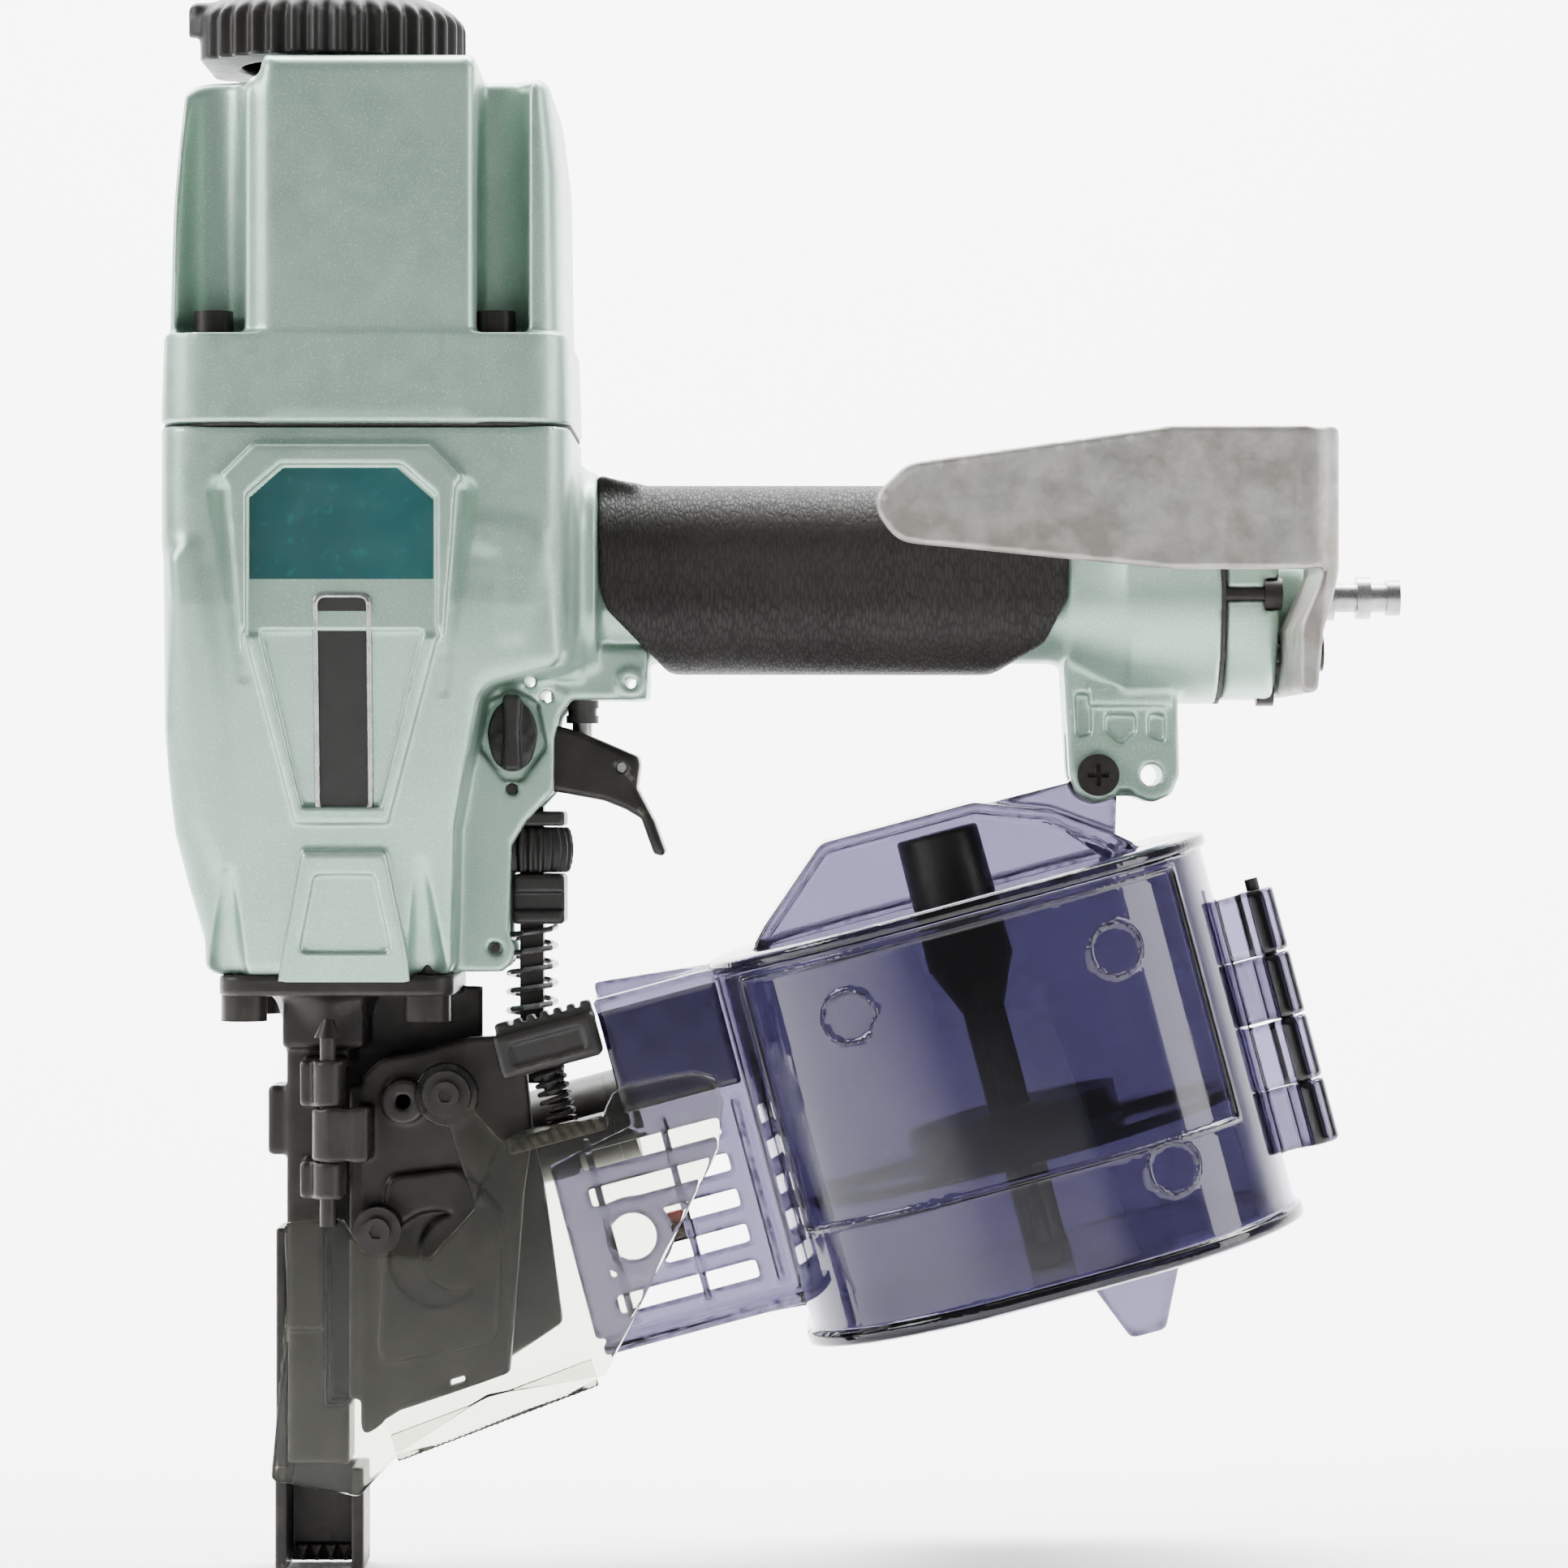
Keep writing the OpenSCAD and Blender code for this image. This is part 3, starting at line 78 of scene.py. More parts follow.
def set_camera():
    """Level view along +Y, centred on the tool's height."""
    data = bpy.data.cameras.new("camera")
    data.sensor_width = SENSOR
    data.lens = SENSOR * VIEW_DISTANCE / VIEW_WIDTH
    camera = bpy.data.objects.new("camera", data)
    camera.location = (0.1012, -VIEW_DISTANCE, (LOW + HIGH) / 2000 + 0.0006)
    camera.rotation_euler = (math.pi / 2, 0, 0)
    bpy.context.scene.collection.objects.link(camera)
    bpy.context.scene.camera = camera


def add_light(name, place, target, size, power, colour=(1, 1, 1)):
    data = bpy.data.lights.new(name, "AREA")
    data.shape = "RECTANGLE"
    data.size, data.size_y = size
    data.energy = power
    data.color = colour
    light = bpy.data.objects.new(name, data)
    light.location = place
    light.rotation_euler = (Vector(target) - Vector(place)).to_track_quat("-Z", "Y").to_euler()
    bpy.context.scene.collection.objects.link(light)


def set_studio():
    """Pale sweep, soft key from the upper left, fill from the right and a pale world."""
    middle = (0.1, 0.0, 0.15)
    add_light("key", (-1.3, -0.5, 0.8), middle, (0.7, 0.7), 27)
    add_light("fill", (1.4, -0.35, 0.5), middle, (0.5, 1.0), 13)
    add_light("top", (0.1, 0.1, 1.4), middle, (1.0, 0.6), 12)
    add_light("back", (0.1, 0.45, 1.3), (0.1, 0.9, 0.15), (2.0, 0.6), 135)
    world = bpy.data.worlds.new("studio")
    world.use_nodes = True
    world.node_tree.nodes["Background"].inputs["Color"].default_value = (0.95, 0.96, 0.97, 1)
    world.node_tree.nodes["Background"].inputs["Strength"].default_value = 0.32
    bpy.context.scene.world = world
    floor_z = LOW / 1000 - 0.0005
    depth, rise, radius, steps = 0.9, 2.5, 0.7, 16
    profile = [(-3.0, floor_z), (depth - radius, floor_z)]
    for i in range(1, steps + 1):
        a = math.pi / 2 * i / steps
        profile.append((depth - radius + radius * math.sin(a), floor_z + radius * (1 - math.cos(a))))
    profile.append((depth, floor_z + rise))
    vertices = [(x, y, z) for y, z in profile for x in (-4.0, 4.0)]
    faces = [(2 * i, 2 * i + 1, 2 * i + 3, 2 * i + 2) for i in range(len(profile) - 1)]
    mesh = bpy.data.meshes.new("sweep")
    mesh.from_pydata(vertices, [], faces)
    mesh.shade_smooth()
    sweep = bpy.data.objects.new("sweep", mesh)
    bpy.context.scene.collection.objects.link(sweep)
    mesh.materials.append(paper_material())


# ---------------------------------------------------------------- Materials


class Finish:
    """A Principled material with short helpers for its procedural detail."""

    def __init__(self, name, **sockets):
        self.material = bpy.data.materials.new(name)
        self.material.use_nodes = True
        tree = self.material.node_tree
        self.nodes, self.links = tree.nodes, tree.links
        self.shader = self.nodes["Principled BSDF"]
        for socket, value in sockets.items():
            self.shader.inputs[socket.replace("_", " ")].default_value = value
        self.place = self.nodes.new("ShaderNodeTexCoord").outputs["Object"]
        self.last_bump = None

    def noise(self, size, detail=3.0, stretch=(1, 1, 1)):
        """Noise whose features are about size millimetres across."""
        mapping = self.nodes.new("ShaderNodeMapping")
        mapping.inputs["Scale"].default_value = stretch
        self.links.new(self.place, mapping.inputs["Vector"])
        node = self.nodes.new("ShaderNodeTexNoise")
        node.inputs["Scale"].default_value = 1000 / size
        node.inputs["Detail"].default_value = detail
        self.links.new(mapping.outputs["Vector"], node.inputs["Vector"])
        return node.outputs["Fac"]

    def cells(self, size, stretch=(1, 1, 1)):
        """Voronoi cells about size millimetres across, as the distance to their edges."""
        mapping = self.nodes.new("ShaderNodeMapping")
        mapping.inputs["Scale"].default_value = stretch
        self.links.new(self.place, mapping.inputs["Vector"])
        node = self.nodes.new("ShaderNodeTexVoronoi")
        node.feature = "DISTANCE_TO_EDGE"
        node.inputs["Scale"].default_value = 1000 / size
        self.links.new(mapping.outputs["Vector"], node.inputs["Vector"])
        return node.outputs["Distance"]

    def ramp(self, value, low, high, first, last):
        """Maps value from low..high to first..last."""
        node = self.nodes.new("ShaderNodeMapRange")
        for name, number in (("From Min", low), ("From Max", high), ("To Min", first), ("To Max", last)):
            node.inputs[name].default_value = number
        self.links.new(value, node.inputs["Value"])
        return node.outputs["Result"]

    def mix(self, factor, first, last):
        """Mixes two colours, where first may be the output of an earlier mix."""
        node = self.nodes.new("ShaderNodeMix")
        node.data_type = "RGBA"
        self.links.new(factor, node.inputs["Factor"])
        for socket, colour in ((node.inputs[6], first), (node.inputs[7], last)):
            if isinstance(colour, bpy.types.NodeSocket):
                self.links.new(colour, socket)
            else:
                socket.default_value = (*colour, 1)
        return node.outputs[2]

    def colour(self, output):
        self.links.new(output, self.shader.inputs["Base Color"])

    def roughness(self, output):
        self.links.new(output, self.shader.inputs["Roughness"])

    def bump(self, height, strength, depth):
        """Adds relief, depth in millimetres."""
        node = self.nodes.new("ShaderNodeBump")
        node.inputs["Strength"].default_value = strength
        node.inputs["Distance"].default_value = depth / 1000
        self.links.new(height, node.inputs["Height"])
        if self.last_bump:
            self.links.new(self.last_bump, node.inputs["Normal"])
        self.last_bump = node.outputs["Normal"]
        self.links.new(self.last_bump, self.shader.inputs["Normal"])

    def edges(self, low=0.52, high=0.62):
        """1 on convex edges, 0 elsewhere, broken up by noise: worn edges on most finishes, and on clear
        plastic the edges that take painted shade.
        """
        sharp = self.nodes.new("ShaderNodeNewGeometry").outputs["Pointiness"]
        broken = self.ramp(self.noise(2.2), 0.35, 0.65, 0.2, 1.0)
        node = self.nodes.new("ShaderNodeMath")
        node.operation = "MULTIPLY"
        self.links.new(self.ramp(sharp, low, high, 0.0, 1.0), node.inputs[0])
        self.links.new(broken, node.inputs[1])
        return node.outputs[0]


def paper_material():
    """Matt paper that is clear from behind, so that the tool can be seen from every side."""
    finish = Finish("paper", Roughness=0.9)
    behind = finish.nodes.new("ShaderNodeNewGeometry").outputs["Backfacing"]
    clear = finish.nodes.new("ShaderNodeBsdfTransparent").outputs[0]
    mixer = finish.nodes.new("ShaderNodeMixShader")
    for output, socket in zip((behind, finish.shader.outputs[0], clear), mixer.inputs):
        finish.links.new(output, socket)
    finish.links.new(mixer.outputs[0], finish.nodes["Material Output"].inputs["Surface"])
    finish.colour(finish.mix(finish.noise(400), (0.94, 0.945, 0.95), (0.96, 0.965, 0.97)))
    return finish.material


def sage_paint():
    """Metallic satin lacquer: fine flakes, a slight orange peel and rubbed edges."""
    finish = Finish("sage_paint", Metallic=0.65, Coat_Weight=0.3, Coat_Roughness=0.2)
    flake = finish.noise(0.35, 1.0)
    base = finish.mix(finish.ramp(finish.noise(26), 0.35, 0.65, 0, 1), (0.235, 0.35, 0.28),
                      (0.27, 0.39, 0.315))
    sparkle = finish.mix(finish.ramp(flake, 0.55, 0.8, 0, 0.7), base, (0.50, 0.62, 0.54))
    worn = finish.mix(finish.ramp(finish.edges(), 0, 1, 0, 0.55), sparkle, (0.62, 0.72, 0.66))
    finish.colour(worn)
    finish.roughness(finish.ramp(finish.noise(4), 0.3, 0.7, 0.33, 0.43))
    finish.bump(flake, 0.10, 0.05)
    finish.bump(finish.noise(2.6, 1.0), 0.10, 0.12)
    return finish.material


def moulded_black(name, worn):
    """Glass-filled nylon with a fine spark texture, paler on worn edges."""
    finish = Finish(name, Specular_IOR_Level=0.28)
    grain = finish.noise(0.45, 2.0)
    base = finish.mix(finish.noise(14), (0.008, 0.0072, 0.0068), (0.015, 0.0135, 0.0125))
    if worn:
        base = finish.mix(finish.ramp(finish.edges(), 0, 1, 0, 0.5), base, (0.07, 0.063, 0.058))
    finish.colour(base)
    finish.roughness(finish.ramp(finish.noise(3), 0.3, 0.7, 0.38, 0.5))
    finish.bump(grain, 0.2, 0.10)
    return finish.material


def blackened_steel(name, worn):
    """Black oxide on cast and machined steel, slightly browned, rubbed at worn edges."""
    finish = Finish(name, Metallic=0.35, Specular_IOR_Level=0.35)
    base = finish.mix(finish.ramp(finish.noise(9), 0.3, 0.7, 0, 1), (0.009, 0.0078, 0.0068),
                      (0.019, 0.0165, 0.0142))
    if worn:
        base = finish.mix(finish.ramp(finish.edges(0.53, 0.6), 0, 1, 0, 0.6), base, (0.11, 0.10, 0.088))
    finish.colour(base)
    finish.roughness(finish.ramp(finish.noise(1.6), 0.3, 0.7, 0.34, 0.48))
    finish.bump(finish.noise(0.8, 4.0), 0.10, 0.06)
    return finish.material


def rubber_grain():
    """Moulded rubber with a leather grain that runs down the grip in wrinkles."""
    finish = Finish("rubber_grain", Specular_IOR_Level=0.22)
    wrinkle = finish.cells(1.5, (1.9, 1.0, 0.4))
    fine = finish.cells(0.8)
    crest = finish.ramp(wrinkle, 0.0, 0.22, 0.0, 1.0)
    # Painted shade: the colour follows the crest mask, darker in the grooves between the grain's raised
    # cells.
    base = finish.mix(crest, (0.006, 0.005, 0.0045), (0.012, 0.0105, 0.0095))
    finish.colour(finish.mix(finish.ramp(finish.noise(30), 0.4, 0.7, 0, 0.5), base,
                             (0.020, 0.0175, 0.016)))
    finish.roughness(finish.ramp(crest, 0, 1, 0.75, 0.5))
    finish.bump(crest, 0.45, 0.16)
    finish.bump(finish.ramp(fine, 0, 0.15, 0, 1), 0.25, 0.06)
    return finish.material


def tumbled_aluminium():
    """Cast aluminium, tumbled to a mottled grey skin with brighter rubbed edges."""
    finish = Finish("tumbled_aluminium", Metallic=0.75)
    blotch = finish.ramp(finish.noise(7, 5.0), 0.38, 0.62, 0, 1)
    base = finish.mix(blotch, (0.22, 0.20, 0.18), (0.34, 0.325, 0.305))
    cool = finish.mix(finish.ramp(finish.noise(17, 3.0), 0.45, 0.7, 0, 0.55), base, (0.30, 0.335, 0.315))
    finish.colour(finish.mix(finish.ramp(finish.edges(0.52, 0.62), 0, 1, 0, 0.5), cool,
                             (0.66, 0.64, 0.60)))
    finish.roughness(finish.ramp(finish.noise(1.2, 4.0), 0.3, 0.7, 0.42, 0.6))
    finish.bump(finish.noise(0.9, 4.0), 0.25, 0.12)
    finish.bump(finish.noise(5), 0.2, 0.3)
    return finish.material


def turned_metal(name, dark, light, rough):
    """Plated or turned metal with fine lines round it and small stains."""
    finish = Finish(name, Metallic=1.0)
    lines = finish.noise(0.5, 2.0, (6, 1, 1))
    finish.colour(finish.mix(finish.ramp(finish.noise(6, 4.0), 0.35, 0.7, 0, 1), dark, light))
    finish.roughness(finish.ramp(lines, 0.3, 0.7, rough, rough + 0.16))
    finish.bump(lines, 0.12, 0.05)
    return finish.material


def soft_black(name, low, high, rough):
    """Gaskets, seals and urethane."""
    finish = Finish(name)
    finish.colour(finish.mix(finish.noise(5, 3.0), low, high))
    finish.roughness(finish.ramp(finish.noise(1.5), 0.3, 0.7, rough, rough + 0.15))
    finish.bump(finish.noise(0.7, 3.0), 0.3, 0.08)
    return finish.material


def teal_film():
    """Blank printed film, darker towards one end, under a clear gloss."""
    finish = Finish("teal_film", Coat_Weight=0.25, Coat_Roughness=0.08)
    gradient = finish.noise(60, 1.0, (1, 1, 0.4))
    base = finish.mix(finish.ramp(gradient, 0.35, 0.65, 0, 1), (0.002, 0.040, 0.042),
                      (0.004, 0.085, 0.085))
    finish.colour(finish.mix(finish.ramp(finish.noise(3), 0.6, 0.8, 0, 0.4), base, (0.008, 0.12, 0.12)))
    finish.roughness(finish.ramp(finish.noise(9), 0.3, 0.7, 0.28, 0.42))
    finish.bump(finish.noise(6), 0.08, 0.1)
    return finish.material


def badge_film():
    finish = Finish("badge_film", Specular_IOR_Level=0.25)
    finish.colour(finish.mix(finish.noise(11), (0.006, 0.0055, 0.005), (0.011, 0.010, 0.009)))
    finish.roughness(finish.ramp(finish.noise(4), 0.3, 0.7, 0.35, 0.48))
    finish.bump(finish.noise(1.2), 0.12, 0.05)
    return finish.material


def clear_plastic(name, colour, edge, sharp, ior, rough):
    """Clear moulding, darker along its edges as painted shade, with slight flow ripples and fine scuffs.
    """
    finish = Finish(name, Transmission_Weight=1.0, IOR=ior)
    # Painted shade: the edge colour darkens the convex edges, standing in for the dark look that
    # refraction and thickness give clear plastic there.
    finish.colour(finish.mix(finish.edges(sharp, sharp + 0.035), colour, edge))
    finish.roughness(finish.ramp(finish.noise(8, 5.0), 0.45, 0.75, rough, rough + 0.09))
    finish.bump(finish.noise(22, 1.0), 0.08, 0.4)
    return finish.material


def red_plastic():
    finish = Finish("red_plastic")
    finish.colour(finish.mix(finish.noise(4), (0.30, 0.015, 0.012), (0.42, 0.03, 0.02)))
    finish.roughness(finish.ramp(finish.noise(2), 0.3, 0.7, 0.35, 0.5))
    finish.bump(finish.noise(0.8), 0.15, 0.05)
    return finish.material


set_camera()
set_studio()

PAINT = sage_paint()
NYLON = moulded_black("moulded_black", False)
WORN_NYLON = moulded_black("worn_moulded_black", True)
BLACK = blackened_steel("blackened_steel", False)
WORN_BLACK = blackened_steel("worn_blackened_steel", True)
RUBBER = rubber_grain()
CAST = tumbled_aluminium()
STEEL = turned_metal("turned_steel", (0.26, 0.26, 0.26), (0.42, 0.415, 0.41), 0.24)
ALLOY = turned_metal("machined_alloy", (0.62, 0.62, 0.63), (0.76, 0.76, 0.77), 0.28)
BRASS = turned_metal("turned_brass", (0.50, 0.36, 0.13), (0.68, 0.50, 0.20), 0.26)
MESH = turned_metal("filter_mesh", (0.30, 0.30, 0.29), (0.48, 0.48, 0.46), 0.4)
GASKET = soft_black("gasket_board", (0.010, 0.009, 0.008), (0.025, 0.022, 0.019), 0.7)
URETHANE = soft_black("urethane", (0.012, 0.011, 0.010), (0.022, 0.020, 0.018), 0.45)
TEAL = teal_film()
BADGE = badge_film()
# Each clear plastic's second colour is painted shade for its convex edges.
TINT = clear_plastic("tinted_plastic", (0.115, 0.105, 0.175), (0.006, 0.005, 0.012), 0.508, 1.42, 0.03)
# Painted shade: a darker copy of the tinted plastic, for the canister's far half, which lies behind the
# cover.
SHADED_TINT = clear_plastic("deep_tinted_plastic", (0.065, 0.06, 0.10), (0.004, 0.003, 0.008), 0.508,
                          1.42, 0.03)
CLEAR = clear_plastic("clear_plastic", (0.66, 0.66, 0.57), (0.16, 0.16, 0.13), 0.56, 1.25, 0.04)
RED = red_plastic()

# ---------------------------------------------------------------- Distance fields


def others(axis):
    return [i for i in (X, Y, Z) if i != axis]


def wall(side, end):
    """Distance to a bar, from the distances to its side and to its ends."""
    return np.minimum(np.maximum(side, end), 0) + np.hypot(np.maximum(side, 0), np.maximum(end, 0))


def bounded(low, high, field):
    """Works a field out only where points come near its box; further off its distance is a rough one."""
    low, high = np.array(low, float), np.array(high, float)

    def limited(p):
        gap = max((p.min(axis=0) - high).max(), (low - p.max(axis=0)).max())
        return np.full(len(p), gap) if gap > REACH else field(p)
    return limited


def box(low, high, edge=0.0):
    low, high = np.array(low, float), np.array(high, float)
    middle, half = (low + high) / 2, (high - low) / 2 - edge

    def field(p):
        q = np.abs(p - middle) - half
        outside = np.sqrt((np.maximum(q, 0) ** 2).sum(axis=1))
        return outside + np.minimum(q.max(axis=1), 0) - edge
    return bounded(low, high, field)


def ends(axis, flat_low, flat_high, low, high):
    """Box corners from the spans on the other two axes and along the axis."""
    corners = np.array([flat_low, flat_high], float)
    return [np.insert(corners[i], axis, (low, high)[i]) for i in (0, 1)]


def rod(axis, centre, radius, low, high, edge=0.0, top=None):
    """Cylinder along an axis. centre has the other two coordinates; top is the radius at high."""
    a, b = others(axis)
    middle, half = (low + high) / 2, (high - low) / 2 - edge
    slope = 0 if top is None else (top - radius) / (high - low)
    lean = 1 / math.hypot(1, slope)

    def field(p):
        reach = radius + slope * (p[:, axis] - low)
        side = (np.hypot(p[:, a] - centre[0], p[:, b] - centre[1]) - reach) * lean + edge
        return wall(side, np.abs(p[:, axis] - middle) - half) - edge
    widest, centre = max(radius, top or 0), np.array(centre, float)
    return bounded(*ends(axis, centre - widest, centre + widest, low, high), field)


def soften(points, radius, steps=4):
    """Outline with each corner turned into an arc, as far as its sides allow."""
    points = [np.array(p, float) for p in points]
    out = []
    for i, corner in enumerate(points):
        before, after = points[i - 1] - corner, points[(i + 1) % len(points)] - corner
        la, lb = np.linalg.norm(before), np.linalg.norm(after)
        before, after = before / la, after / lb
        half = math.acos(max(-1, min(1, float(before @ after)))) / 2
        if half > 1.5:
            out.append(corner)
            continue
        run = min(radius / math.tan(half), la / 2.2, lb / 2.2)
        start, end = corner + before * run, corner + after * run
        for k in range(steps + 1):
            t = k / steps
            out.append((1 - t) ** 2 * start + 2 * t * (1 - t) * corner + t * t * end)
    return np.array(out)


def outline_distance(points, x, y):
    nearest = np.full(x.shape, 1e9)
    inside = np.zeros(x.shape, bool)
    for (ax, ay), (bx, by) in zip(points, np.roll(points, -1, axis=0)):
        ex, ey, wx, wy = bx - ax, by - ay, x - ax, y - ay
        t = np.clip((wx * ex + wy * ey) * (1 / (ex * ex + ey * ey + 1e-12)), 0, 1)
        nearest = np.minimum(nearest, (wx - ex * t) ** 2 + (wy - ey * t) ** 2)
        if ey:
            inside ^= ((ay > y) != (by > y)) & (wx < wy * (ex / ey))
    return np.where(inside, -1, 1) * np.sqrt(nearest)


def prism(axis, points, low, high, edge=0.0, corner=0.0):
    """Outline drawn on the other two axes, over low..high, with round edges and round corners."""
    outline = soften(points, corner) if corner else np.array(points, float)
    a, b = others(axis)
    middle, half = (low + high) / 2, (high - low) / 2 - edge

    def field(p):
        side = outline_distance(outline, p[:, a], p[:, b]) + edge
        return wall(side, np.abs(p[:, axis] - middle) - half) - edge
    return bounded(*ends(axis, outline.min(axis=0), outline.max(axis=0), low, high), field)


def round_plan(low, high, radius, z0, z1, edge=0.0):
    """Upright block with a round-cornered plan."""
    middle, half = (np.array(low) + high) / 2, (np.array(high) - low) / 2 - radius

    def field(p):
        q = np.abs(p[:, :2] - middle) - half
        side = np.hypot(np.maximum(q[:, 0], 0), np.maximum(q[:, 1], 0))
        side = side + np.minimum(np.maximum(q[:, 0], q[:, 1]), 0) - radius + edge
        return wall(side, np.abs(p[:, 2] - (z0 + z1) / 2) - (z1 - z0) / 2 + edge) - edge
    return bounded((*low, z0), (*high, z1), field)


def capsule(start, end, r0, r1=None):
    """Round bar between two points, whose radius may change along it."""
    start, axis = np.array(start, float), np.array(end, float) - start
    r1 = r0 if r1 is None else r1

    def field(p):
        t = np.clip((p - start) @ axis / (axis @ axis), 0, 1)
        return np.linalg.norm(p - start - t[:, None] * axis, axis=1) - (r0 + (r1 - r0) * t)
    widest = max(r0, r1)
    end = start + axis
    return bounded(np.minimum(start, end) - widest, np.maximum(start, end) + widest, field)


def soft_min(a, b, k):
    if k <= 0:
        return np.minimum(a, b)
    h = np.clip(0.5 + 0.5 * (b - a) / k, 0, 1)
    return b * (1 - h) + a * h - k * h * (1 - h)


def join(k, *fields):
    def field(p):
        d = fields[0](p)
        for f in fields[1:]:
            d = soft_min(d, f(p), k)
        return d
    return field


def common(k, *fields):
    def field(p):
        d = fields[0](p)
        for f in fields[1:]:
            d = -soft_min(-d, -f(p), k)
        return d
    return field


def cut(k, body, *tools):
    def field(p):
        d = body(p)
        for f in tools:
            d = -soft_min(-d, f(p), k)
        return d
    return field


def moved(change, field):
    return lambda p: field(change(p))


# ---------------------------------------------------------------- Mesher

BLOCK = 8
REGION = 4 * BLOCK


def by_region(field, points, cells):
    """Field at points, worked out region by region, so that far fields drop out. cells are grid places."""
    keys = (cells // REGION) @ np.array([1, 1000, 1000000])
    order = np.argsort(keys, kind="stable")
    starts = np.nonzero(np.diff(keys[order]))[0] + 1
    out = np.empty(len(points))
    for some in np.split(order, starts):
        out[some] = field(points[some])
    return out


def sample(field, low, counts, cell):
    """Field on a grid, worked out in full only near its zero surface."""
    size = BLOCK * cell
    centres = np.stack(np.meshgrid(*[np.arange(n) for n in counts], indexing="ij"), -1).reshape(-1, 3)
    rough = field((centres + 0.5) * size + low - cell / 2)
    near = np.abs(rough) < size * 0.95
    grid = np.repeat(rough, BLOCK ** 3).reshape(-1, BLOCK, BLOCK, BLOCK)
    steps = np.stack(np.meshgrid(*[np.arange(BLOCK)] * 3, indexing="ij"), -1).reshape(-1, 3) * cell
    kept = np.nonzero(near)[0]
    cells = ((centres[kept] * BLOCK)[:, None, :] + (steps / cell)[None]).reshape(-1,
                                                                                 3).round().astype(int)
    grid[kept] = by_region(field, cells * cell + low, cells).reshape(-1, BLOCK, BLOCK, BLOCK)
    grid = grid.reshape(*counts, BLOCK, BLOCK, BLOCK).transpose(0, 3, 1, 4, 2, 5)
    return grid.reshape([n * BLOCK for n in counts])


def surface_cells(values):
    """One vertex in each cell that the surface crosses, and the faces between them."""
    inside = values < 0
    corners = [(i, j, k) for i in (0, 1) for j in (0, 1) for k in (0, 1)]
    shape = np.array(values.shape) - 1

    def at(array, c):
        return array[c[0]:c[0] + shape[0], c[1]:c[1] + shape[1], c[2]:c[2] + shape[2]]
    count = sum(at(inside, c).astype(np.int8) for c in corners)
    active = np.argwhere((count > 0) & (count < 8))
    index = np.full(shape, -1, np.int64)
    index[tuple(active.T)] = np.arange(len(active))
    total, weight = np.zeros((len(active), 3)), np.zeros(len(active))
    for c in corners:
        for axis in range(3):
            if c[axis]:
                continue
            d = list(c)
            d[axis] = 1
            a = values[tuple((active + c).T)]
            b = values[tuple((active + d).T)]
            hit = (a < 0) != (b < 0)
            t = np.where(hit, a / np.where(hit, a - b, 1), 0)
            point = np.array(c, float) + t[:, None] * (np.array(d) - c)
            total += point * hit[:, None]
            weight += hit
    vertices = active + total / weight[:, None]
    faces = []
    for axis in range(3):
        u, v = [(1, 2), (2, 0), (0, 1)][axis]
        step = np.zeros(3, int)
        step[axis] = 1
        low = inside[:-1, :-1, :-1]
        high = inside[step[0]:shape[0] + step[0], step[1]:shape[1] + step[1], step[2]:shape[2] + step[2]]
        edge = np.argwhere(low != high)
        edge = edge[(edge[:, u] > 0) & (edge[:, v] > 0)]
        du, dv = np.zeros(3, int), np.zeros(3, int)
        du[u] = dv[v] = 1
        quad = [index[tuple(e.T)] for e in (edge - du - dv, edge - dv, edge, edge - du)]
        quad = np.stack(quad, 1)
        flip = ~low[tuple(edge.T)]
        quad[flip] = quad[flip][:, ::-1]
        faces.append(quad)
    faces = np.concatenate(faces)
    return vertices, faces[(faces >= 0).all(axis=1)]


def pull(field, points, cells, cell):
    """Moves points onto the field's zero surface."""
    step = cell * 0.1
    here = by_region(field, points, cells)
    slope = [by_region(field, points + step * np.eye(3)[axis], cells) - here for axis in range(3)]
    slope = np.stack(slope, 1) / step
    steep = np.maximum((slope ** 2).sum(axis=1), 0.2)
    return points - np.clip(here / steep, -0.4 * cell, 0.4 * cell)[:, None] * slope


def to_feed(p):
    """Tool frame to feed frame."""
    x, z = p[..., 0], p[..., 2]
    return np.stack([x * COS + z * SIN, p[..., 1], z * COS - x * SIN], -1)


def from_feed(p):
    u, v = p[..., 0], p[..., 2]
    return np.stack([u * COS - v * SIN, p[..., 1], u * SIN + v * COS], -1)


def feed_points(node):
    """A CAD node's vertices in the feed frame, in millimetres."""
    return to_feed(np.array([v.co for v in frame["nodes"][node].data.vertices]) * 1000)


def new_piece(name, vertices, faces, material, body, slot, nodes=(), smooth=True):
    """Mesh object from millimetres, riding on a body and standing for some CAD nodes."""
    mesh = bpy.data.meshes.new(name)
    mesh.from_pydata([tuple(v) for v in np.asarray(vertices) / 1000], [],
                     [tuple(map(int, f)) for f in faces])
    mesh.validate()
    if smooth:
        mesh.shade_smooth()
    mesh.materials.append(material)
    piece = bpy.data.objects.new(name, mesh)
    bpy.context.scene.collection.objects.link(piece)
    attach(piece, body)
    if nodes:
        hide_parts(*nodes)
    return piece


def cast(name, field, low, high, material, body, slot, nodes=(), cell=None, tilted=False):
    """Meshes a field inside low..high. A tilted one is drawn in the feed frame."""
    cell = (cell or 0.75) * CELL / 0.75
    low = np.array(low, float) - 2 * cell
    counts = [max(1, math.ceil(n)) for n in (np.array(high) + 2 * cell - low) / (BLOCK * cell)]
    values = sample(field, low, counts, cell)
    vertices, faces = surface_cells(values)
    points = vertices * cell + low
    cells = vertices.astype(int)
    for _ in range(2):
        points = pull(field, points, cells, cell)
    if tilted:
        points = from_feed(points)
    return new_piece(name, points, faces, material, body, slot, nodes)


# ---------------------------------------------------------------- Sizes from the frame

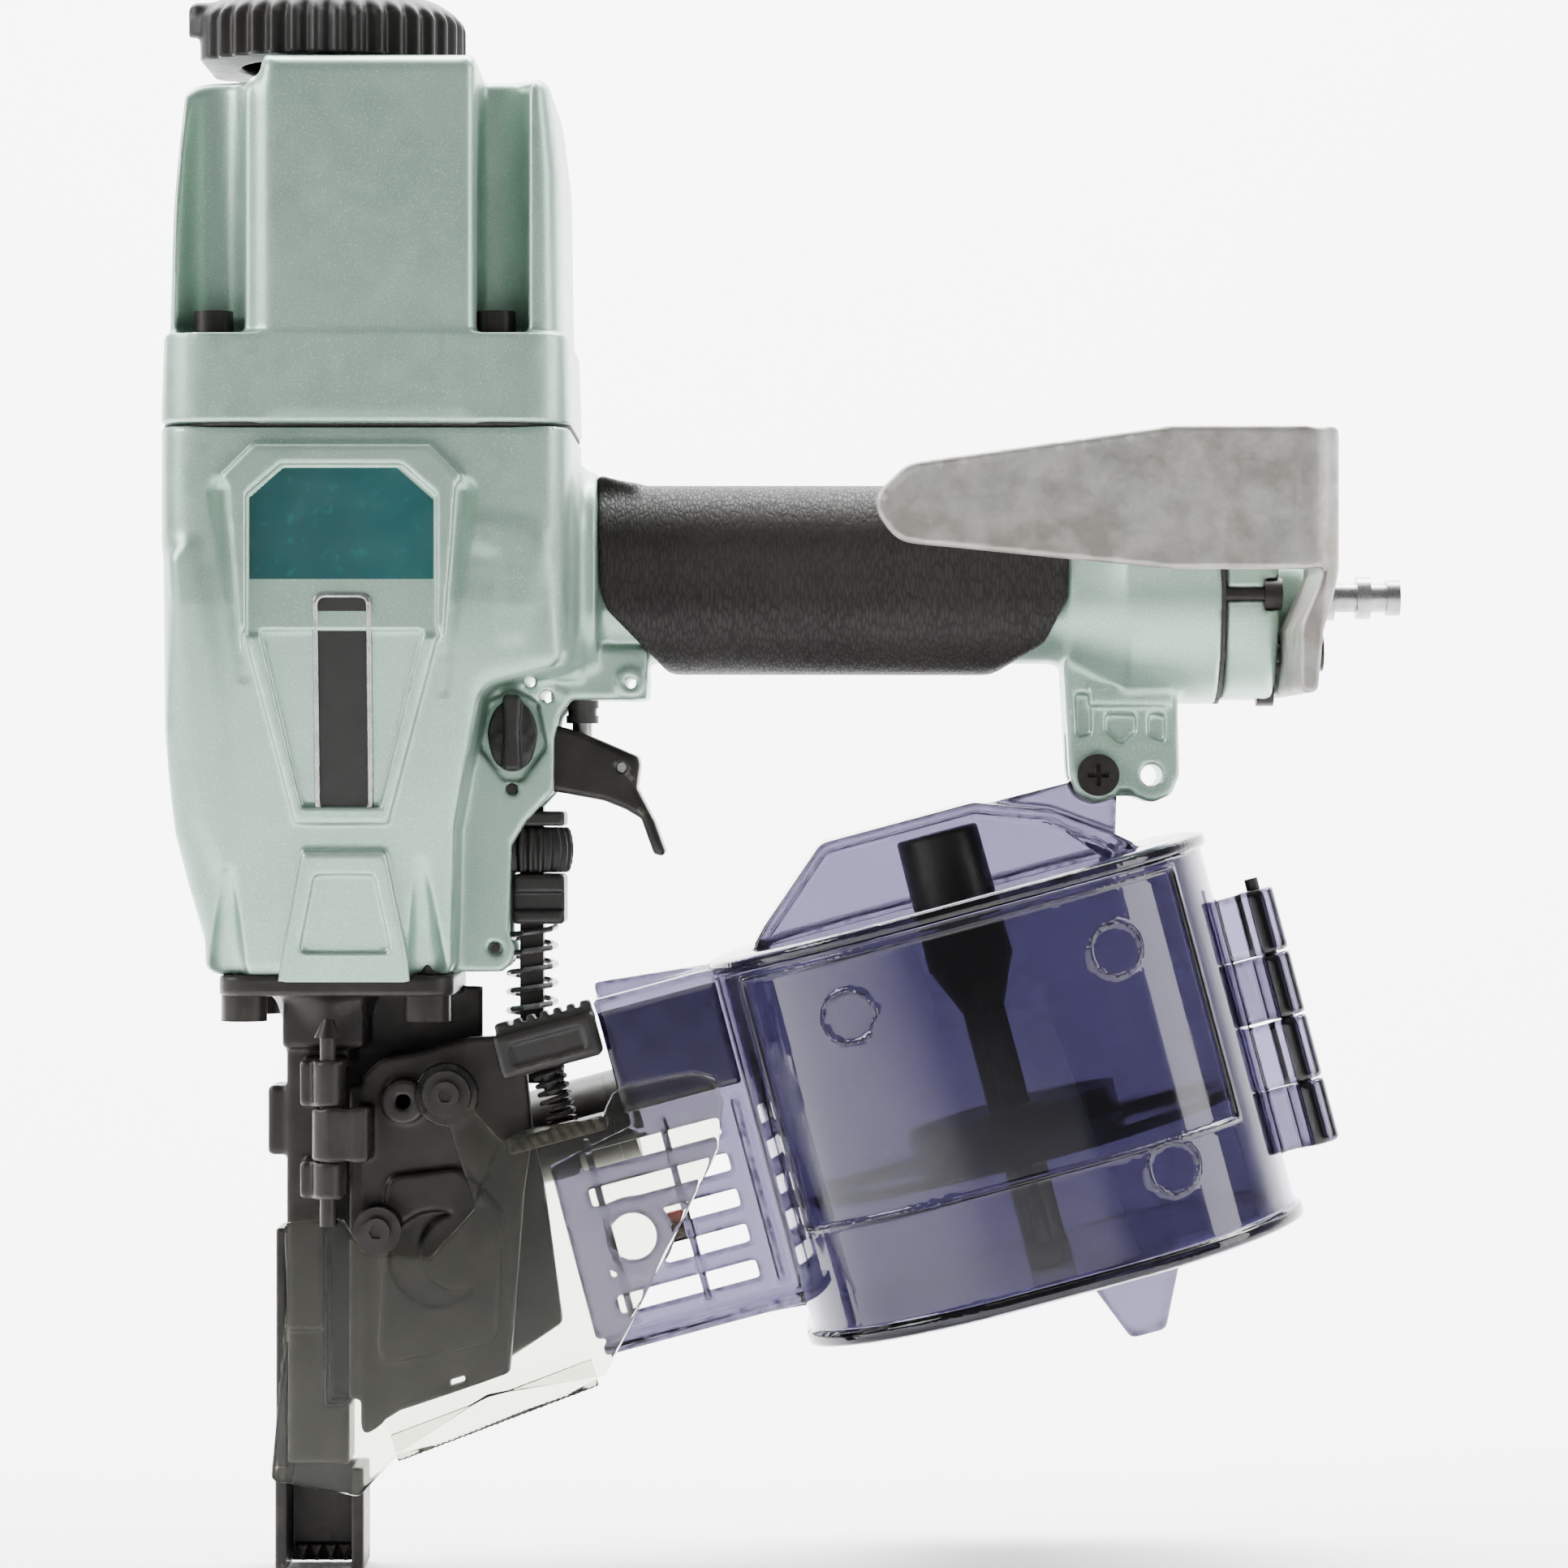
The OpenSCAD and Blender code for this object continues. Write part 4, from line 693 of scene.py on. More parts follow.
FEED = JOINTS["feed_stroke"]["axis"]
COS, SIN = FEED[0], FEED[2]
BODY_LOW, BODY_HIGH = span("main_housing")
HEAD_LOW, HEAD_HIGH = span("head_housing")
CAP_LOW, CAP_HIGH = span("end_cap")
GRIP_LOW, GRIP_HIGH = span("grip_sleeve")
PIVOT_X, PIVOT_Z = joint_point("trigger_pull")[[0, 2]]
HALF = BODY_HIGH[Y]
LEFT = BODY_LOW[X]
RIGHT = HEAD_HIGH[X] + 0.3
SEAM = BODY_HIGH[Z]
BASE = span("nose_body")[1][Z]
TOP = HEAD_HIGH[Z]
BULB_Z = (span("end_gasket")[0][Z] + span("end_gasket")[1][Z]) / 2
BULB_R = (span("end_gasket")[1][Y] - span("end_gasket")[0][Y]) / 2
GRIP_Z = (GRIP_LOW[Z] + GRIP_HIGH[Z]) / 2
BOLT_HEAD = 4.25
BOLT_X = [span("head_bolts")[0][X] + BOLT_HEAD, span("head_bolts")[1][X] - BOLT_HEAD]
BOLT_Y = span("head_bolts")[1][Y] - BOLT_HEAD
LEDGE = span("head_bolts")[1][Z] - 5
BRACKET_X = (span("bracket_nut")[0][X] + span("bracket_nut")[1][X]) / 2
BRACKET_Z = (span("bracket_nut")[0][Z] + span("bracket_nut")[1][Z]) / 2
TRIGGER_W = span("trigger")[1][Y]
MAG_POINTS = np.concatenate([feed_points("magazine_cover"), feed_points("magazine_post")])
HINGE_U, HINGE_Y, _ = to_feed(joint_point("cover_swing"))
POST_U = feed_points("magazine_post")[:, 0].mean()
DRUM_LEFT, DRUM_NEAR, DRUM_LOW = MAG_POINTS.min(axis=0)
DRUM_RIGHT = 2 * POST_U - DRUM_LEFT
SPLIT = HINGE_Y
WALL = 2.5
DRUM_WIDTH = 112
DRUM_HEIGHT = 88
DRUM_CORNER = 44
DRUM_FAR = DRUM_NEAR + DRUM_WIDTH
DRUM_Y = (DRUM_NEAR + DRUM_FAR) / 2

# ---------------------------------------------------------------- Body castings


def leaning(p):
    """Straightens the near face, which leans back below the label."""
    q = p.copy()
    q[:, Y] -= np.maximum(SEAM - 38 - p[:, Z], 0) * (HALF - 27) / (SEAM - 38 - BASE)
    return q


def bolt_channels(radius, low, high):
    tools = []
    for x in BOLT_X:
        for side in (-1, 1):
            y = side * BOLT_Y
            tools.append(rod(Z, (x, y), radius, low, high, 1.5))
            tools.append(box((x - radius, min(y, side * 60), low),
                             (x + radius, max(y, side * 60), high), 1.5))
    return tools


def head_field():
    low = HEAD_LOW[Z]
    middle_l, middle_r = LEFT + 23, RIGHT - 21
    side = prism(Y, [
        (LEFT, low - 5), (LEFT + 1.5, low + 20), (LEFT + 3, low + 46), (LEFT + 5.5, TOP - 9),
        (LEFT + 9, TOP + 4), (RIGHT - 7, TOP + 4), (RIGHT - 5, TOP - 9), (RIGHT - 2.3, TOP - 26),
        (RIGHT - 1.5, low + 26), (RIGHT, low - 5)], -HALF - 9, HALF + 9)
    lobes = common(5, round_plan((LEFT, -HALF + 1.5), (RIGHT, HALF - 1.5), 13, low, TOP - 3, 0.3),
                   side, box((LEFT - 9, -HALF - 9, low - 9), (RIGHT + 9, HALF + 9, TOP - 3.5), 1))
    lobes = common(7, lobes, box((LEFT - 2, -HALF - 2, low - 30), (RIGHT + 2, HALF + 2, TOP - 2.5), 9))
    panel = common(4, box((middle_l, -HALF - 5, low), (middle_r, HALF + 5, TOP), 0.3),
                   box((LEFT, -HALF, low - 20), (RIGHT, HALF, TOP), 5))
    lower = common(2, round_plan((LEFT, -HALF), (RIGHT, HALF), 12.5, low, LEDGE, 0.4), side)
    solid = join(2.5, cut(3, lobes, *bolt_channels(6.6, LEDGE, TOP + 20)), panel)
    solid = join(1.2, solid, lower)
    heads = [rod(Z, (x, s * BOLT_Y), 2.7, low - 2, LEDGE + 3) for x in BOLT_X for s in (-1, 1)]
    bores = [
        rod(Z, (0, 0), span("head_valve")[1][X] + 0.5, low - 2, span("head_valve")[0][Z] + 16),
        rod(Z, (0, 0), 17.5, low, TOP - 12), rod(Z, (0, 0), 11.2, low, TOP - 4),
        round_plan((0, -22), (RIGHT - 8, 22), 8, low - 2, low + 24), rod(Z, (0, 0), 7, TOP - 14, TOP + 3)]
    return cut(0.3, solid, *heads, *bores)


def cheek_outline():
    low = BASE + 0.4 - PIVOT_Z
    points = [
        (-18, 15), (-3.4, 15.4), (4.2, 13.5), (9.2, 11), (13.3, 7.8), (10.1, 4), (9, -1), (8.9, -12.7),
        (2.9, -19.1), (-0.3, -24.4), (-0.9, low + 8.5), (0.2, low + 5), (0, low + 2.3), (-2.2, low),
        (-18, low)]
    return [(PIVOT_X + x, PIVOT_Z + z) for x, z in points]


def label_frame():
    """Raised octagon round the label, with a sloped inner face."""
    mid, high = 6.4, SEAM - 4
    outer = [(mid - 26, high - 7), (mid - 19, high), (mid + 19, high), (mid + 26, high - 7),
             (mid + 21.5, high - 46), (mid + 21, high - 40), (mid - 21, high - 40),
             (mid - 21.5, high - 46)]
    inner = [(mid - 20.5, high - 11), (mid - 13, high - 4.4), (mid + 13, high - 4.4),
             (mid + 20.5, high - 11),
             (mid + 20.5, high - 41), (mid - 20.5, high - 41)]
    ring = prism(Y, outer, -HALF - 3.0, -HALF + 6, 1.3, 1.0)
    pocket = prism(Y, inner, -HALF - 6, -HALF - 0.35, 0.5, 1.0)
    return ring, pocket


def badge_panel():
    """Raised tapered panel that carries the badge, and the foot below it."""
    mid, high = 6.3, SEAM - 31.5
    panel = prism(Y, [(mid - 22, high - 8.5), (mid - 14, high), (mid + 14, high), (mid + 22, high - 8.5),
                      (mid + 9.5, high - 54), (mid - 10.5, high - 54)], -HALF - 2.0, -HALF + 5, 0.8, 0.8)
    band = prism(Y, [(mid - 18.5, high - 9), (mid - 12.5, high - 3), (mid + 12.5, high - 3),
                     (mid + 18.5, high - 9), (mid + 8, high - 50.5), (mid - 9, high - 50.5)],
                 -HALF - 5, -HALF - 0.15, 0.5, 1.0)
    foot = prism(Y, [(mid - 9, high - 60), (mid + 9, high - 60), (mid + 15, BASE - 3),
                     (mid - 15, BASE - 3)],
                 -HALF - 2.4, -HALF + 5, 0.9, 1.0)
    dish = prism(Y, [(mid - 6.5, high - 65), (mid + 6.5, high - 65), (mid + 10, BASE + 5),
                     (mid - 10, BASE + 5)],
                 -HALF - 5, -HALF - 0.7, 0.5, 1.5)
    return cut(0.5, join(0.8, panel, foot), band, dish)


def body_block():
    side = prism(Y, [
        (LEFT, SEAM + 9), (LEFT, SEAM - 25), (LEFT + 0.9, SEAM - 29), (LEFT + 1.3, SEAM - 65),
        (LEFT + 4, SEAM - 88), (LEFT + 6.7, SEAM - 99), (LEFT + 9.9, BASE + 8), (LEFT + 10.3, BASE - 3),
        (29.4, BASE - 3), (30.5, PIVOT_Z - 20), (36, PIVOT_Z + 10), (RIGHT, GRIP_Z - 19),
        (RIGHT, SEAM + 9)],
        -HALF - 9, HALF + 9, 0, 6)
    end = prism(X, [(-HALF, SEAM + 9), (-HALF, SEAM - 38), (-27, BASE), (-26.9, BASE - 5),
                    (26.9, BASE - 5),
                    (27, BASE), (HALF, SEAM - 38), (HALF, SEAM + 9)], LEFT - 9, RIGHT + 9)
    plan = round_plan((LEFT, -HALF), (RIGHT, HALF), 12.5, BASE, SEAM, 0.4)
    return common(3, plan, side, end)


def side_details():
    """Raised rib and shoulders, then the grooves between the panels, on the near face."""
    shoulder = prism(Y, [(LEFT + 4, SEAM - 28), (LEFT + 8.5, SEAM - 24.5), (LEFT + 14.5, SEAM - 60),
                         (LEFT + 15.5, BASE + 20), (LEFT + 9, BASE + 34)], -HALF + 0.8, -HALF + 9, 2, 3)
    rib = prism(Y, [(33.5, SEAM - 20.5), (43, SEAM - 21), (48.5, SEAM - 24), (49, SEAM - 27),
                    (44.5, SEAM - 45), (41, SEAM - 46), (40.5, SEAM - 27), (33.5, SEAM - 25)],
                -HALF + 2.2, -HALF + 12, 1.5, 1.2)
    grooves = [
        capsule((LEFT + 14.6, -HALF - 0.5, SEAM - 14), (LEFT + 19.3, -HALF - 1.0, SEAM - 54), 2.6, 0.9),
        capsule((32.6, -HALF - 0.5, SEAM - 14), (28.2, -HALF - 1.0, SEAM - 57), 2.6, 0.9),
        capsule((LEFT + 15.5, -HALF - 0.6, BASE + 22), (LEFT + 14.8, -HALF + 1.0, BASE - 2), 1.2, 4.6),
        capsule((22.5, -HALF - 0.6, BASE + 24), (24, -HALF + 1.0, BASE - 2), 1.2, 4.6)]
    return [shoulder, rib], grooves


def handle_parts():
    core = round_rod_x(RIGHT - 20, GRIP_HIGH[X] + 9, (GRIP_LOW[Y] + 2.7, GRIP_LOW[Z] + 2.7),
                       (GRIP_HIGH[Y] - 2.7, GRIP_HIGH[Z] - 2.7), 14)
    root = round_rod_x(RIGHT - 14, GRIP_LOW[X] - 0.5, (GRIP_LOW[Y] - 1.6, GRIP_LOW[Z] - 0.5),
                       (GRIP_HIGH[Y] + 1.6, GRIP_HIGH[Z] + 2.2), 15)
    bulb = join(0, rod(X, (0, BULB_Z), BULB_R - 6, GRIP_HIGH[X] + 0.3, GRIP_HIGH[X] + 12, 0, BULB_R),
                rod(X, (0, BULB_Z), BULB_R, GRIP_HIGH[X] + 11.9, CAP_LOW[X] - 0.8, 0.3))
    return core, root, bulb


def round_rod_x(x0, x1, low, high, radius):
    """Bar along X with a round-cornered section."""
    turned = round_plan(low, high, radius, x0, x1, 0.4)
    return moved(lambda p: p[:, [1, 2, 0]], turned)


def bracket_field():
    x, z = BRACKET_X, BRACKET_Z
    outline = [(x - 6.1, z), (x - 4.3, z - 4.3), (x, z - 6.1), (x + 4, z - 4.6), (x + 8, z - 4.6),
               (x + 11.9, z - 6.1),
               (x + 16.2, z - 4.3), (x + 18, z), (x + 17.4, BULB_Z - 14), (x - 7.6, BULB_Z - 14)]
    plate = prism(Y, outline, -11, 11, 0.7, 2.6)
    panels = []
    for points in ([(x - 4.6, z + 8), (x - 1.4, z + 9), (x - 1.4, z + 18), (x - 5, z + 18)],
                   [(x + 1.6, z + 9.5), (x + 5, z + 6.5), (x + 8.4, z + 9.5), (x + 8.4, z + 13.5),
                    (x + 1.6, z + 13.5)],
                   [(x + 11, z + 8.5), (x + 14.8, z + 7), (x + 14.8, z + 13.5), (x + 11, z + 13.5)],
                   [(x + 3.5, z - 5.5), (x + 8.5, z - 5.5), (x + 7.5, z - 3.4), (x + 4.5, z - 3.4)]):
        panels.append(prism(Y, points, -14, -9.8, 0.4, 0.9))
        panels.append(prism(Y, points, 9.8, 14, 0.4, 0.9))
    slot = box((x - 9, -3.3, z - 9), (x + 5.9, 3.3, z + 9))
    ledge = box((x - 1.8, -11.8, BULB_Z - 24), (x + 16, 11.8, BULB_Z - 20), 0.7)
    solid = join(1.0, cut(0.4, plate, *panels), ledge)
    return solid, [slot, rod(Y, (x + 11.9, z), 2.4, -14, 14), rod(Y, (x, z), 2.6, -14, 14)]


def housing_field():
    block = body_block()
    raised, grooves = side_details()
    frame_ring, pocket = label_frame()
    core, root, bulb = handle_parts()
    solid = join(4, block, *[moved(leaning, f) for f in raised])
    solid = join(0.8, solid, frame_ring, moved(leaning, badge_panel()))
    solid = cut(1.2, solid, *[moved(leaning, g) for g in grooves])
    solid = cut(0.4, solid, pocket)
    solid = join(7, solid, join(4, root, core))
    solid = join(6, solid, bulb)
    bracket, bracket_holes = bracket_field()
    solid = join(1.6, solid, bracket)
    block_over = join(1.5, box((PIVOT_X - 4, -14, PIVOT_Z + 7.5), (PIVOT_X + 29.5, 14, GRIP_LOW[Z] + 6),
                               1.2),
                      rod(Y, (PIVOT_X + 25.8, PIVOT_Z + 11.2), 3.0, -14.6, 14.6, 0.4))
    cheeks = join(0, prism(Y, cheek_outline(), -14, -9.5, 0.7, 2),
                  prism(Y, cheek_outline(), 9.5, 14, 0.7, 2))
    squares = join(0, prism(Y, [(PIVOT_X + 10.4, PIVOT_Z + 12.4), (PIVOT_X + 14.6, PIVOT_Z + 12.4),
                                (PIVOT_X + 14.6, PIVOT_Z + 20), (PIVOT_X + 10.4, PIVOT_Z + 20)], -14.5,
                                -13, 0.2))
    solid = join(2, solid, join(1, block_over, cheeks), squares)
    pocket_tools = [
        box((PIVOT_X - 9, -9.5, PIVOT_Z - 9), (PIVOT_X + 40, 9.5, PIVOT_Z + 7.5)),
        box((30.8, -9.5, BASE - 3), (PIVOT_X + 40, 9.5, PIVOT_Z - 6)),
        prism(Y, [(PIVOT_X - 7.5, PIVOT_Z - 3), (PIVOT_X - 5.5, PIVOT_Z + 7), (PIVOT_X, PIVOT_Z + 10),
                  (PIVOT_X + 5.5, PIVOT_Z + 7), (PIVOT_X + 7.5, PIVOT_Z - 3),
                  (PIVOT_X + 2, PIVOT_Z - 10.5),
                  (PIVOT_X - 2, PIVOT_Z - 10.5)], -18, -13.1, 0.3, 2)]
    for x, z, r in ((3.7, 11.5, 1.25), (-0.2, -12.1, 1.2), (7.3, 8.2, 1.45), (25.8, 11.2, 1.25)):
        pocket_tools.append(rod(Y, (PIVOT_X + x, PIVOT_Z + z), r, -20, 20))
    pocket_tools += [
        rod(Y, (PIVOT_X - 3.9, BASE + 5.5), 1.4, -20, 20), rod(Y, (PIVOT_X, PIVOT_Z), 3.1, -20, 20),
        rod(Z, (span("valve_plunger")[0][X] + 2.2, 0), 7.1, PIVOT_Z + 6, GRIP_Z)]
    chambers = [
        rod(Z, (0, 0), span("cylinder_sleeve")[1][X] + 0.4, span("cylinder_sleeve")[0][Z] - 0.2,
            SEAM + 2),
        rod(Z, (0, 0), span("bumper")[1][X] + 0.3, span("bumper")[0][Z], span("cylinder_sleeve")[0][Z]),
        rod(Z, (0, 0), 7.2, BASE - 2, SEAM), round_plan((0, -22), (RIGHT - 8, 22), 8, SEAM - 46,
                                                        SEAM + 2),
        rod(X, (0, GRIP_Z - 1), 12, RIGHT - 20, CAP_LOW[X]),
        rod(X, (0, BULB_Z), BULB_R - 6, GRIP_HIGH[X] + 8, CAP_LOW[X])]
    chambers += [rod(Z, (x, s * BOLT_Y), 2.7, LEDGE - 36, SEAM + 2) for x in BOLT_X for s in (-1, 1)]
    return cut(0.4, solid, *pocket_tools, *bracket_holes, *chambers)


def grip_field():
    low = GRIP_LOW[Z]
    x0, x1 = GRIP_LOW[X], GRIP_HIGH[X]
    outer = round_rod_x(x0, x1, (GRIP_LOW[Y], low), (GRIP_HIGH[Y], GRIP_HIGH[Z]), 16)
    side = prism(Y, [(x0 - 1, GRIP_HIGH[Z] + 4), (x0, low + 20), (x0 + 2, low + 14), (x0 + 16, low - 0.2),
                     (x1 - 18, low - 0.4), (x1 - 6, low + 7), (x1 - 1, low + 17), (x1, GRIP_HIGH[Z] + 4)],
                 GRIP_LOW[Y] - 5, GRIP_HIGH[Y] + 5, 0, 5)
    lip = prism(Y, [(x0 - 1, GRIP_HIGH[Z] + 2.4), (x0 + 8, GRIP_HIGH[Z] - 0.3),
                    (x0 + 8, GRIP_HIGH[Z] - 6),
                    (x0 - 1, GRIP_HIGH[Z] - 6)], -11, 11, 1)
    inner = round_rod_x(x0 - 3, x1 + 3, (GRIP_LOW[Y] + 2.5, low + 2.5),
                        (GRIP_HIGH[Y] - 2.5, GRIP_HIGH[Z] - 2.5), 14)
    return cut(0.3, common(1.6, join(3, outer, lip), side), inner)


def end_cap_field():
    x0, x1 = CAP_LOW[X], CAP_HIGH[X] - 7
    solid = common(3, rod(X, (0, BULB_Z), BULB_R, x0, x1, 0.4),
                   rod(X, (0, BULB_Z), BULB_R, x0 - 20, x1, 3))
    boss = rod(X, (0, BULB_Z), 9.5, x1 - 2, CAP_HIGH[X], 0.8)
    tools = [rod(X, (0, BULB_Z), BULB_R - 6, x0 - 2, x1 - 4), rod(X, (0, BULB_Z), 5.1, x0, x1 + 9)]
    for a in range(4):
        y, z = (BULB_R - 3) * math.cos(a * math.pi / 2), BULB_Z + (BULB_R - 3) * math.sin(a * math.pi / 2)
        tools += [rod(X, (y, z), 2.1, x0 - 2, x1 + 2), rod(X, (y, z), 3.8, x1 - 4, x1 + 2)]
    return cut(0.3, join(1.5, solid, boss), *tools)


def deflector_field():
    low, high = span("exhaust_deflector")[0][Z], span("exhaust_deflector")[1][Z]
    radius, count = span("exhaust_deflector")[1][X], 40

    def ribs(p):
        angle = np.arctan2(p[:, Y], -p[:, X])
        plain = np.clip((np.abs(angle) - 0.62) / 0.1, 0, 1)
        fade = np.clip((high - 1.2 - p[:, Z]) / 3.0, 0, 1)
        wave = (np.cos(angle * count) * 0.75 - 0.75) * plain * fade
        dome = np.maximum(p[:, Z] - (high - 6), 0) ** 2 * 0.16
        side = np.hypot(p[:, X], p[:, Y]) - radius + 0.3 - wave + dome
        return wall(side * 0.7, np.abs(p[:, Z] - (low + high) / 2) - (high - low) / 2)
    spout = common(2, box((-radius + 1.6, -15, low + 3.2), (-8, 15, high - 0.6), 2.5),
                   ribs_free(radius, low, high))
    vent = box((-radius - 4, -12.5, low + 5.0), (-9, 12.5, low + 9.2), 1.2)
    under = box((-radius - 5, -17, low - 3), (-radius + 4.2, 17, low + 5.2), 1.0)
    dish = rod(Z, (0, 0), 8.5, high - 2.4, high + 3, 0.5)
    solid = cut(1.0, join(1.5, ribs, spout), vent, under, dish)
    return cut(0.3, solid, rod(Z, (0, 0), radius - 12, low - 3, low + 9),
               rod(Z, (0, 0), 2.6, low, high + 3),
               rod(Z, (0, 0), 6.6, high - 3, high + 3))


def ribs_free(radius, low, high):
    return rod(Z, (-3, 0), radius, low + 2, high, 3)


def hook_field():
    low, high = span("rafter_hook")
    near, top = low[Y], high[Z]
    right, thick = high[X], 3.6
    mid = BULB_Z + 4
    tip_x, tip_z = low[X] + 8, SEAM - 18
    plate = prism(Y, [(tip_x, tip_z + 8.6), (right - 36, top), (right, top), (right, mid),
                      (right - 36, mid),
                      (tip_x - 2, tip_z - 8), (tip_x - 8, tip_z + 0.5)], near, near + thick, 1.0, 8)
    leg_side = prism(Y, [(right - thick, top), (right, top), (right, mid), (CAP_HIGH[X] - 2, BULB_Z - 9),
                         (CAP_HIGH[X] - 3.2, BULB_Z - 22), (CAP_HIGH[X] - 6.8, BULB_Z - 22),
                         (CAP_HIGH[X] - 6.8, BULB_Z - 8), (right - thick, mid)], near + 1.2, high[Y],
                         0.8, 2.5)
    rounding = join(0, rod(Z, (right - 9, near + 9), 9, low[Z] - 3, top + 3),
                    box((low[X] - 9, near - 1, low[Z] - 9), (right - 9, near + 90, top + 9)),
                    box((right - 30, near + 9, low[Z] - 9), (right + 9, near + 90, top + 9)))
    solid = common(1.0, join(2.5, plate, leg_side), rounding)
    tools = [rod(X, (0, BULB_Z), 10.5, CAP_HIGH[X] - 12, right + 5),
             box((CAP_HIGH[X] - 12, -10.5, BULB_Z), (right + 9, high[Y] + 5, top + 9), 1.5)]
    tools += [rod(X, (y, BULB_Z - 12.5), 2.1, CAP_HIGH[X] - 12, right + 5) for y in (-12, 12)]
    return cut(0.8, solid, *tools)


def badge_rim():
    """Thin bright frame round the badge, proud of its leaning face."""
    low, high = span("badge_plate")
    corners = [(low[X], low[Z]), (high[X], low[Z]), (high[X], high[Z]), (low[X], high[Z])]
    middle = (low + high) / 2
    inner = [(x - 1.1 * np.sign(x - middle[X]), z - 1.1 * np.sign(z - middle[Z])) for x, z in corners]
    front = -HALF - 1.1
    ring = cut(0.1, prism(Y, corners, front, front + 2, 0.3, 2.4),
               prism(Y, inner, front - 9, front + 9, 0, 1.6))
    return moved(leaning, ring)


cast("badge_rim", badge_rim(), span("badge_plate")[0] - 1, span("badge_plate")[1] + 1, STEEL, "tool",
     "badge", (), 0.4)
cast("head_casting", head_field(), (LEFT - 1, -HALF - 1, HEAD_LOW[Z]), (RIGHT + 1, HALF + 1, TOP),
     PAINT, "tool", "sage_paint", ["head_housing"])
cast("housing_casting", housing_field(), (LEFT - 1, -HALF - 4, BASE),
     (CAP_LOW[X], HALF + 2, SEAM), PAINT, "tool", "sage_paint", ["main_housing"])
cast("rubber_grip", grip_field(), GRIP_LOW - 2, GRIP_HIGH + 4, RUBBER, "tool", "rubber", ["grip_sleeve"])
cast("end_cap_casting", end_cap_field(), CAP_LOW, CAP_HIGH, PAINT, "tool", "sage_paint", ["end_cap"])
cast("deflector_cap", deflector_field(), *span("exhaust_deflector"), WORN_NYLON, "deflector",
     "black_plastic",
     ["exhaust_deflector"], 0.5)
cast("hook_casting", hook_field(), *span("rafter_hook"), CAST, "tool", "aluminium", ["rafter_hook"], 0.7)

# ---------------------------------------------------------------- Nose

NOSE_LOW, NOSE_HIGH = span("nose_body")
DOOR_LOW, DOOR_HIGH = span("nose_door")
HINGE_X, HINGE_NEAR, _ = joint_point("door_swing")
FLANGE_Z = BASE - 4.5
TIP_LOW, TIP_HIGH = span("contact_tip")
SHIELD_LOW, SHIELD_HIGH = span("nose_shield")
LEVER_X = joint_point("adjuster_turn")[X]
SCREW_AT = [(27.7, FLANGE_Z - 21.6), (12.7, FLANGE_Z - 51.2), (18.1, FLANGE_Z - 23.3)]


def nose_field():
    """Casting with a flange, a collar, the driver guide, the hinge arms and the feed wall."""
    flange = round_plan((-21.8, -26), (29.4, 26), 6, FLANGE_Z, NOSE_HIGH[Z], 0.8)
    collar = join(2, box((-9, -12, FLANGE_Z - 12), (9, 7.4, FLANGE_Z + 1), 1.2),
                  rod(Z, (0, -2), 8, FLANGE_Z - 9, FLANGE_Z + 1, 0.8, 12.5))
    guide = box((-8.2, -9.8, 30), (5.5, 7.4, FLANGE_Z - 11), 1.0)
    lower = box((-8.2, -7.2, 0), (5.5, 7.4, 31), 1.0)
    block = box((-12.4, -9, FLANGE_Z - 35.6), (-7, 7, FLANGE_Z - 20.3), 1.2)
    wall_side = prism(Y, [(3.9, 14), (40, 22), (52, 30), (48, 60), (41, FLANGE_Z - 14),
                          (30, FLANGE_Z - 12),
                          (3.9, FLANGE_Z - 12)], 6.2, 7.9, 0.4, 2)
    back = box((3.9, 6.2, FLANGE_Z - 14), (34, 7.9, FLANGE_Z + 1), 0.4)
    arms = []
    for low, high in ((FLANGE_Z - 24, FLANGE_Z - 14), (FLANGE_Z - 44, FLANGE_Z - 36)):
        arms.append(join(1.5, box((-4, HINGE_NEAR + 1, low), (5.4, -9, high), 1.0),
                         rod(Z, (HINGE_X, HINGE_NEAR), 3.2, low, high, 0.7)))
    solid = join(1.2, guide, lower, block, join(2.5, flange, collar), join(0.6, wall_side, back), *arms)
    tools = [rod(Z, (0, 0), 4.25, -3, 13.2), rod(Z, (0, 0), 4.25, 12, NOSE_HIGH[Z] + 3),
             box((0, -16, 13), (6.5, 6.2, FLANGE_Z - 16)),
             rod(Z, (HINGE_X, HINGE_NEAR), 1.8, 40, FLANGE_Z - 8)]
    tools += [rod(Z, (x, s * 19.5), 3.1, FLANGE_Z - 2, NOSE_HIGH[Z] + 2) for x in (-16.5,
                                                                                   23.5) for s in (-1, 1)]
    pawl_way = moved(to_feed, box((20.5, 5.2, 52.5), (44.5, 9.2, 59.5)))
    grooves = [box((-13.5, y - 0.7, FLANGE_Z - 34), (-11.4, y + 0.7, FLANGE_Z - 22), 0.3) for y in (-5,
                                                                                                    0)]
    return cut(0.3, solid, pawl_way, *tools, *grooves)


